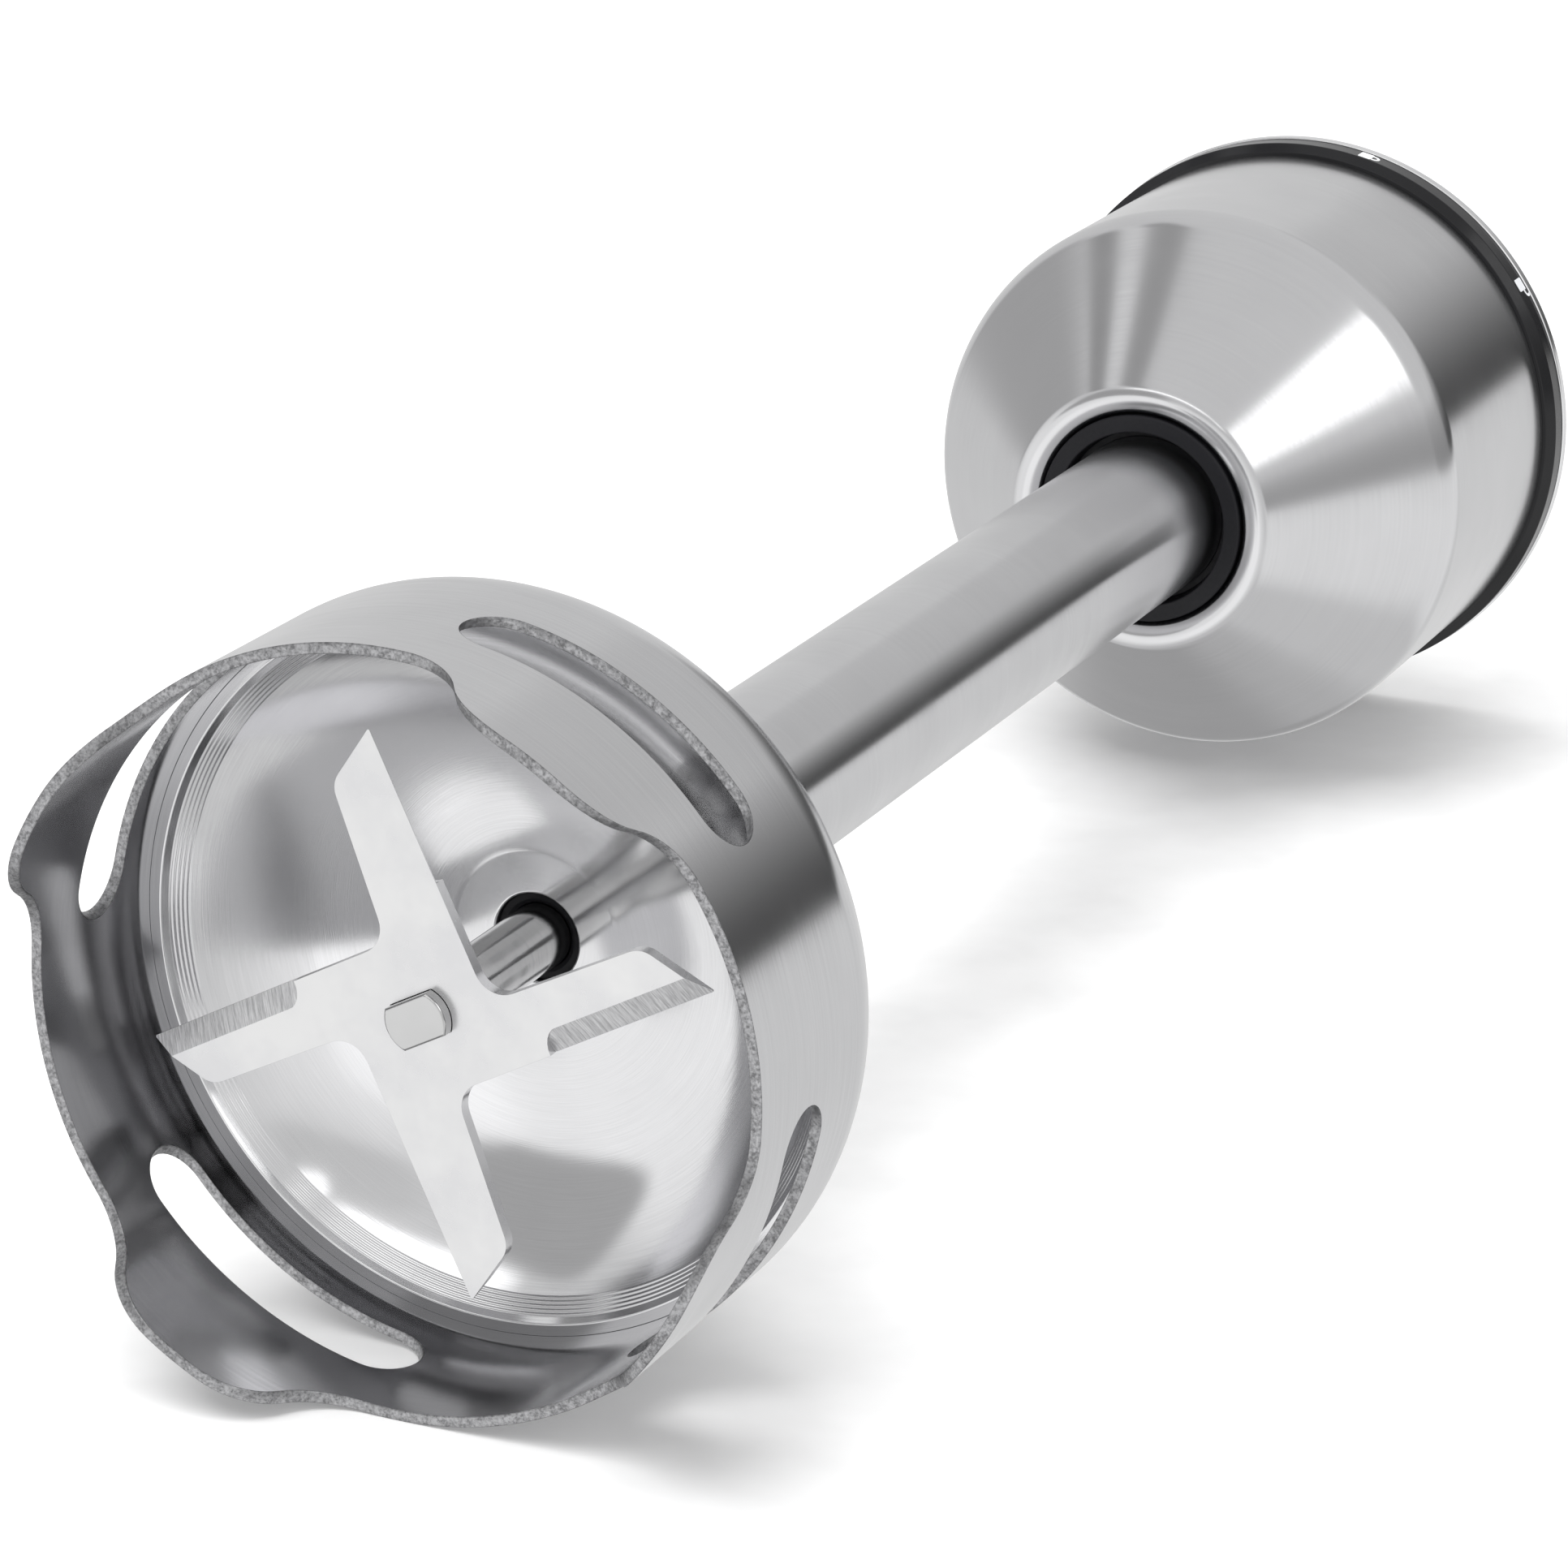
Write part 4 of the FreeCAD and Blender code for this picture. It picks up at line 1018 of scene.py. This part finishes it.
def mark_outlines(open_by):
    """Padlock sign as flat outlines: a body, and a shackle moved aside by open_by."""
    body = rounded([(side * BODY_HALF, at, BODY_ROUND) for side, at in (
        (-1, BODY_BOTTOM), (1, BODY_BOTTOM), (1, BODY_TOP), (-1, BODY_TOP))])
    steps = 14
    turns = [math.pi * k / steps for k in range(steps + 1)]

    def bend(radius, sweep):
        return [Vector((radius * math.cos(a), SHACKLE_BEND + radius * math.sin(a))) for a in sweep]

    shackle = [Vector((SHACKLE_OUTER, SHACKLE_FOOT)), *bend(SHACKLE_OUTER, turns),
               Vector((-SHACKLE_OUTER, SHACKLE_FOOT)), Vector((-SHACKLE_INNER, SHACKLE_FOOT)),
               *bend(SHACKLE_INNER, reversed(turns)), Vector((SHACKLE_INNER, SHACKLE_FOOT))]
    return body, [p + Vector((open_by, 0.0)) for p in shackle]


def make_marks():
    """Locked and unlocked signs printed on the lock ring, a little proud of it."""
    points, faces = [], []
    for beta, open_by in MARKS:
        for outline in mark_outlines(open_by):
            base, count = len(points), len(outline)
            for radius in (RING_R, RING_R + MARK_PROUD):
                points += [place(radius, beta + p.y / RING_R, MARK_STATION + p.x) for p in outline]
            faces.append(tuple(range(base, base + count)))
            faces.append(tuple(range(base + 2 * count - 1, base + count - 1, -1)))
            faces += [(base + i, base + (i + 1) % count, base + count + (i + 1) % count,
                       base + count + i) for i in range(count)]
    mesh = bpy.data.meshes.new("lock_marks")
    mesh.from_pydata(points, [], faces)
    tidy_normals(mesh)
    new_piece("lock_marks", mesh, [MARK_INK], "root", [])


def make_trim():
    lathe("rear_band", [
        (SOCKET_R, RING_END, 0.1), (TRIM_R, RING_END, 0.15), (TRIM_R, REAR, 0.5),
        (SOCKET_R, REAR, 0.25),
    ], TRIM_STEEL, "root", ["rear_trim_ring"], 320)


# ---------------------------------------------------------------- everything inside

CAD_FINISHES = {
    "bearing_hub": PLATED, "lower_bush": BRONZE, "middle_bush": BRONZE, "shaft_liner": NYLON,
    "bearing_retainer": PLATED, "retainer_screws": PLATED, "ring_screws": PLATED,
    "socket_gasket": RUBBER, "bearing_outer_race": GROUND, "bearing_inner_race": GROUND,
    "bearing_balls": GROUND, "bearing_cage": NYLON, "thrust_washer": NYLON,
    "shaft_circlip": PLATED, "bearing_circlip": PLATED, "bearing_spacer": PLATED,
    "coupler_pin": GROUND,
}


def finish_cad_nodes():
    for node, material in CAD_FINISHES.items():
        for material_slot in NODES[node].material_slots:
            material_slot.material = material


# ---------------------------------------------------------------- light and floor

def direction_patch(tree, azimuth, elevation, width, height, soft):
    """Soft oval patch about a direction, 1 inside and 0 outside, and the rise from its bottom."""
    az, el = math.radians(azimuth), math.radians(elevation)
    ahead = Vector((math.sin(az) * math.cos(el), -math.cos(az) * math.cos(el), math.sin(el)))
    right = Vector((math.cos(az), math.sin(az), 0.0))
    up = ahead.cross(right)
    coords = add(tree, "ShaderNodeTexCoord").outputs["Generated"]
    parts = []
    for axis, size in ((right, math.sin(math.radians(width))), (up, math.sin(math.radians(height)))):
        dot = add(tree, "ShaderNodeVectorMath", operation="DOT_PRODUCT")
        link(tree, coords, dot.inputs[0])
        dot.inputs[1].default_value = axis
        scaled = math_node(tree, "DIVIDE", dot.outputs["Value"], size)
        parts.append(math_node(tree, "POWER", math_node(tree, "ABSOLUTE", scaled), 4.0))
    rise = ramp(tree, scaled, -1.0, 1.0, 0.0, 1.0)
    reach = math_node(tree, "ADD", *parts)
    inside = ramp(tree, reach, 1.0 + soft, max(0.0, 1.0 - soft), 0.0, 1.0)
    dot = add(tree, "ShaderNodeVectorMath", operation="DOT_PRODUCT")
    link(tree, coords, dot.inputs[0])
    dot.inputs[1].default_value = ahead
    facing = math_node(tree, "GREATER_THAN", dot.outputs["Value"], 0.0)
    return math_node(tree, "MULTIPLY", inside, facing), rise


ROOM_LEVEL = 0.80                     # brightness of the room behind the panels
# Panels and flags of the studio: azimuth from -Y towards +X, elevation, half width, half
# height, softness, and brightness at the bottom and the top, each laid over the ones before.
PANELS = (
    (-25, -15, 55, 34, 0.8, 1.12, 1.12),
    (110, -25, 50, 22, 0.6, 1.06, 1.06),
    (165, -20, 22, 20, 0.6, 0.85, 0.85),
    (0, -90, 18, 18, 1.0, 0.62, 0.62),
    (-145, -62, 26, 20, 0.8, 0.48, 0.48),
    (-160, 15, 22, 18, 0.6, 0.78, 0.78),
    (170, 28, 15, 9, 0.6, 0.68, 0.68),
    (105, 7, 42, 10, 0.6, 0.33, 0.62),
    (155, 9, 32, 11, 0.3, 0.06, 0.66),
    (-96, 17, 14, 20, 0.8, 0.50, 0.50),
    (-84, 44, 12, 4, 0.6, 0.36, 0.36),
    (-68, 61, 16, 5, 0.6, 0.40, 0.40),
    (-79, 52, 12, 3, 0.6, 0.95, 0.95),
    (62, 35, 7, 13, 0.2, 2.2, 2.2),
    (-33, 24, 19, 17, 0.3, 0.48, 0.48),
    (16, 33, 18, 8, 0.6, 0.72, 0.72),
    (-8, 50, 22, 4, 0.6, 2.0, 2.0),
    (27, 39, 4, 3, 0.8, 1.9, 1.9),
    (-5, -14, 18, 24, 0.6, 1.30, 1.30),
)


def light_studio():
    world = bpy.data.worlds.new("studio")
    bpy.context.scene.world = world
    world.use_nodes = True
    tree = world.node_tree
    background = tree.nodes["Background"]
    level = None
    for panel in PANELS:
        patch, rise = direction_patch(tree, *panel[:5])
        mix = add(tree, "ShaderNodeMix", data_type="FLOAT")
        link(tree, patch, mix.inputs["Factor"])
        if level:
            link(tree, level, mix.inputs[2])
        else:
            mix.inputs[2].default_value = ROOM_LEVEL
        low, high = panel[5:]
        if low == high:
            mix.inputs[3].default_value = low
        else:
            link(tree, ramp(tree, math_node(tree, "POWER", rise, 2.0), 0.0, 1.0, low, high),
                 mix.inputs[3])
        level = mix.outputs[0]
    link(tree, level, background.inputs["Color"])
    background.inputs["Strength"].default_value = 1.0


def lay_floor():
    size = 4.0
    bpy.ops.mesh.primitive_plane_add(size=size, location=(0, 0, CAD_LOW.z))
    floor = bpy.context.object
    floor.name = "studio_floor"
    floor.data.materials.append(FLOOR_PAINT)
    floor.visible_glossy = False


def hang_softbox():
    """Large overhead light that whitens the floor and grounds the object with a soft shadow."""
    data = bpy.data.lights.new("overhead", "AREA")
    data.shape = "SQUARE"
    data.size = 1.6
    data.energy = 26.0
    lamp = bpy.data.objects.new("overhead", data)
    bpy.context.collection.objects.link(lamp)
    lamp.location = (-0.3, -0.4, 1.5)
    lamp.rotation_euler = (Vector((0, -0.1, 0)) - lamp.location).to_track_quat("-Z", "Y").to_euler()
    lamp.visible_glossy = False


# ---------------------------------------------------------------- the whole scene

add_camera()
make_guard()
make_floor()
make_lip_seal()
make_shaft()
make_blade()
make_tube()
make_neck_seal()
make_shell()
make_lock_ring()
make_marks()
make_trim()
fine_copy("coupling_core", "coupling_body", MATT_BLACK, 0.15)
fine_copy("drive_coupler", "driver", MATT_BLACK, 0.12)
finish_cad_nodes()
light_studio()
lay_floor()
hang_softbox()
bpy.context.scene.view_settings.view_transform = "Standard"
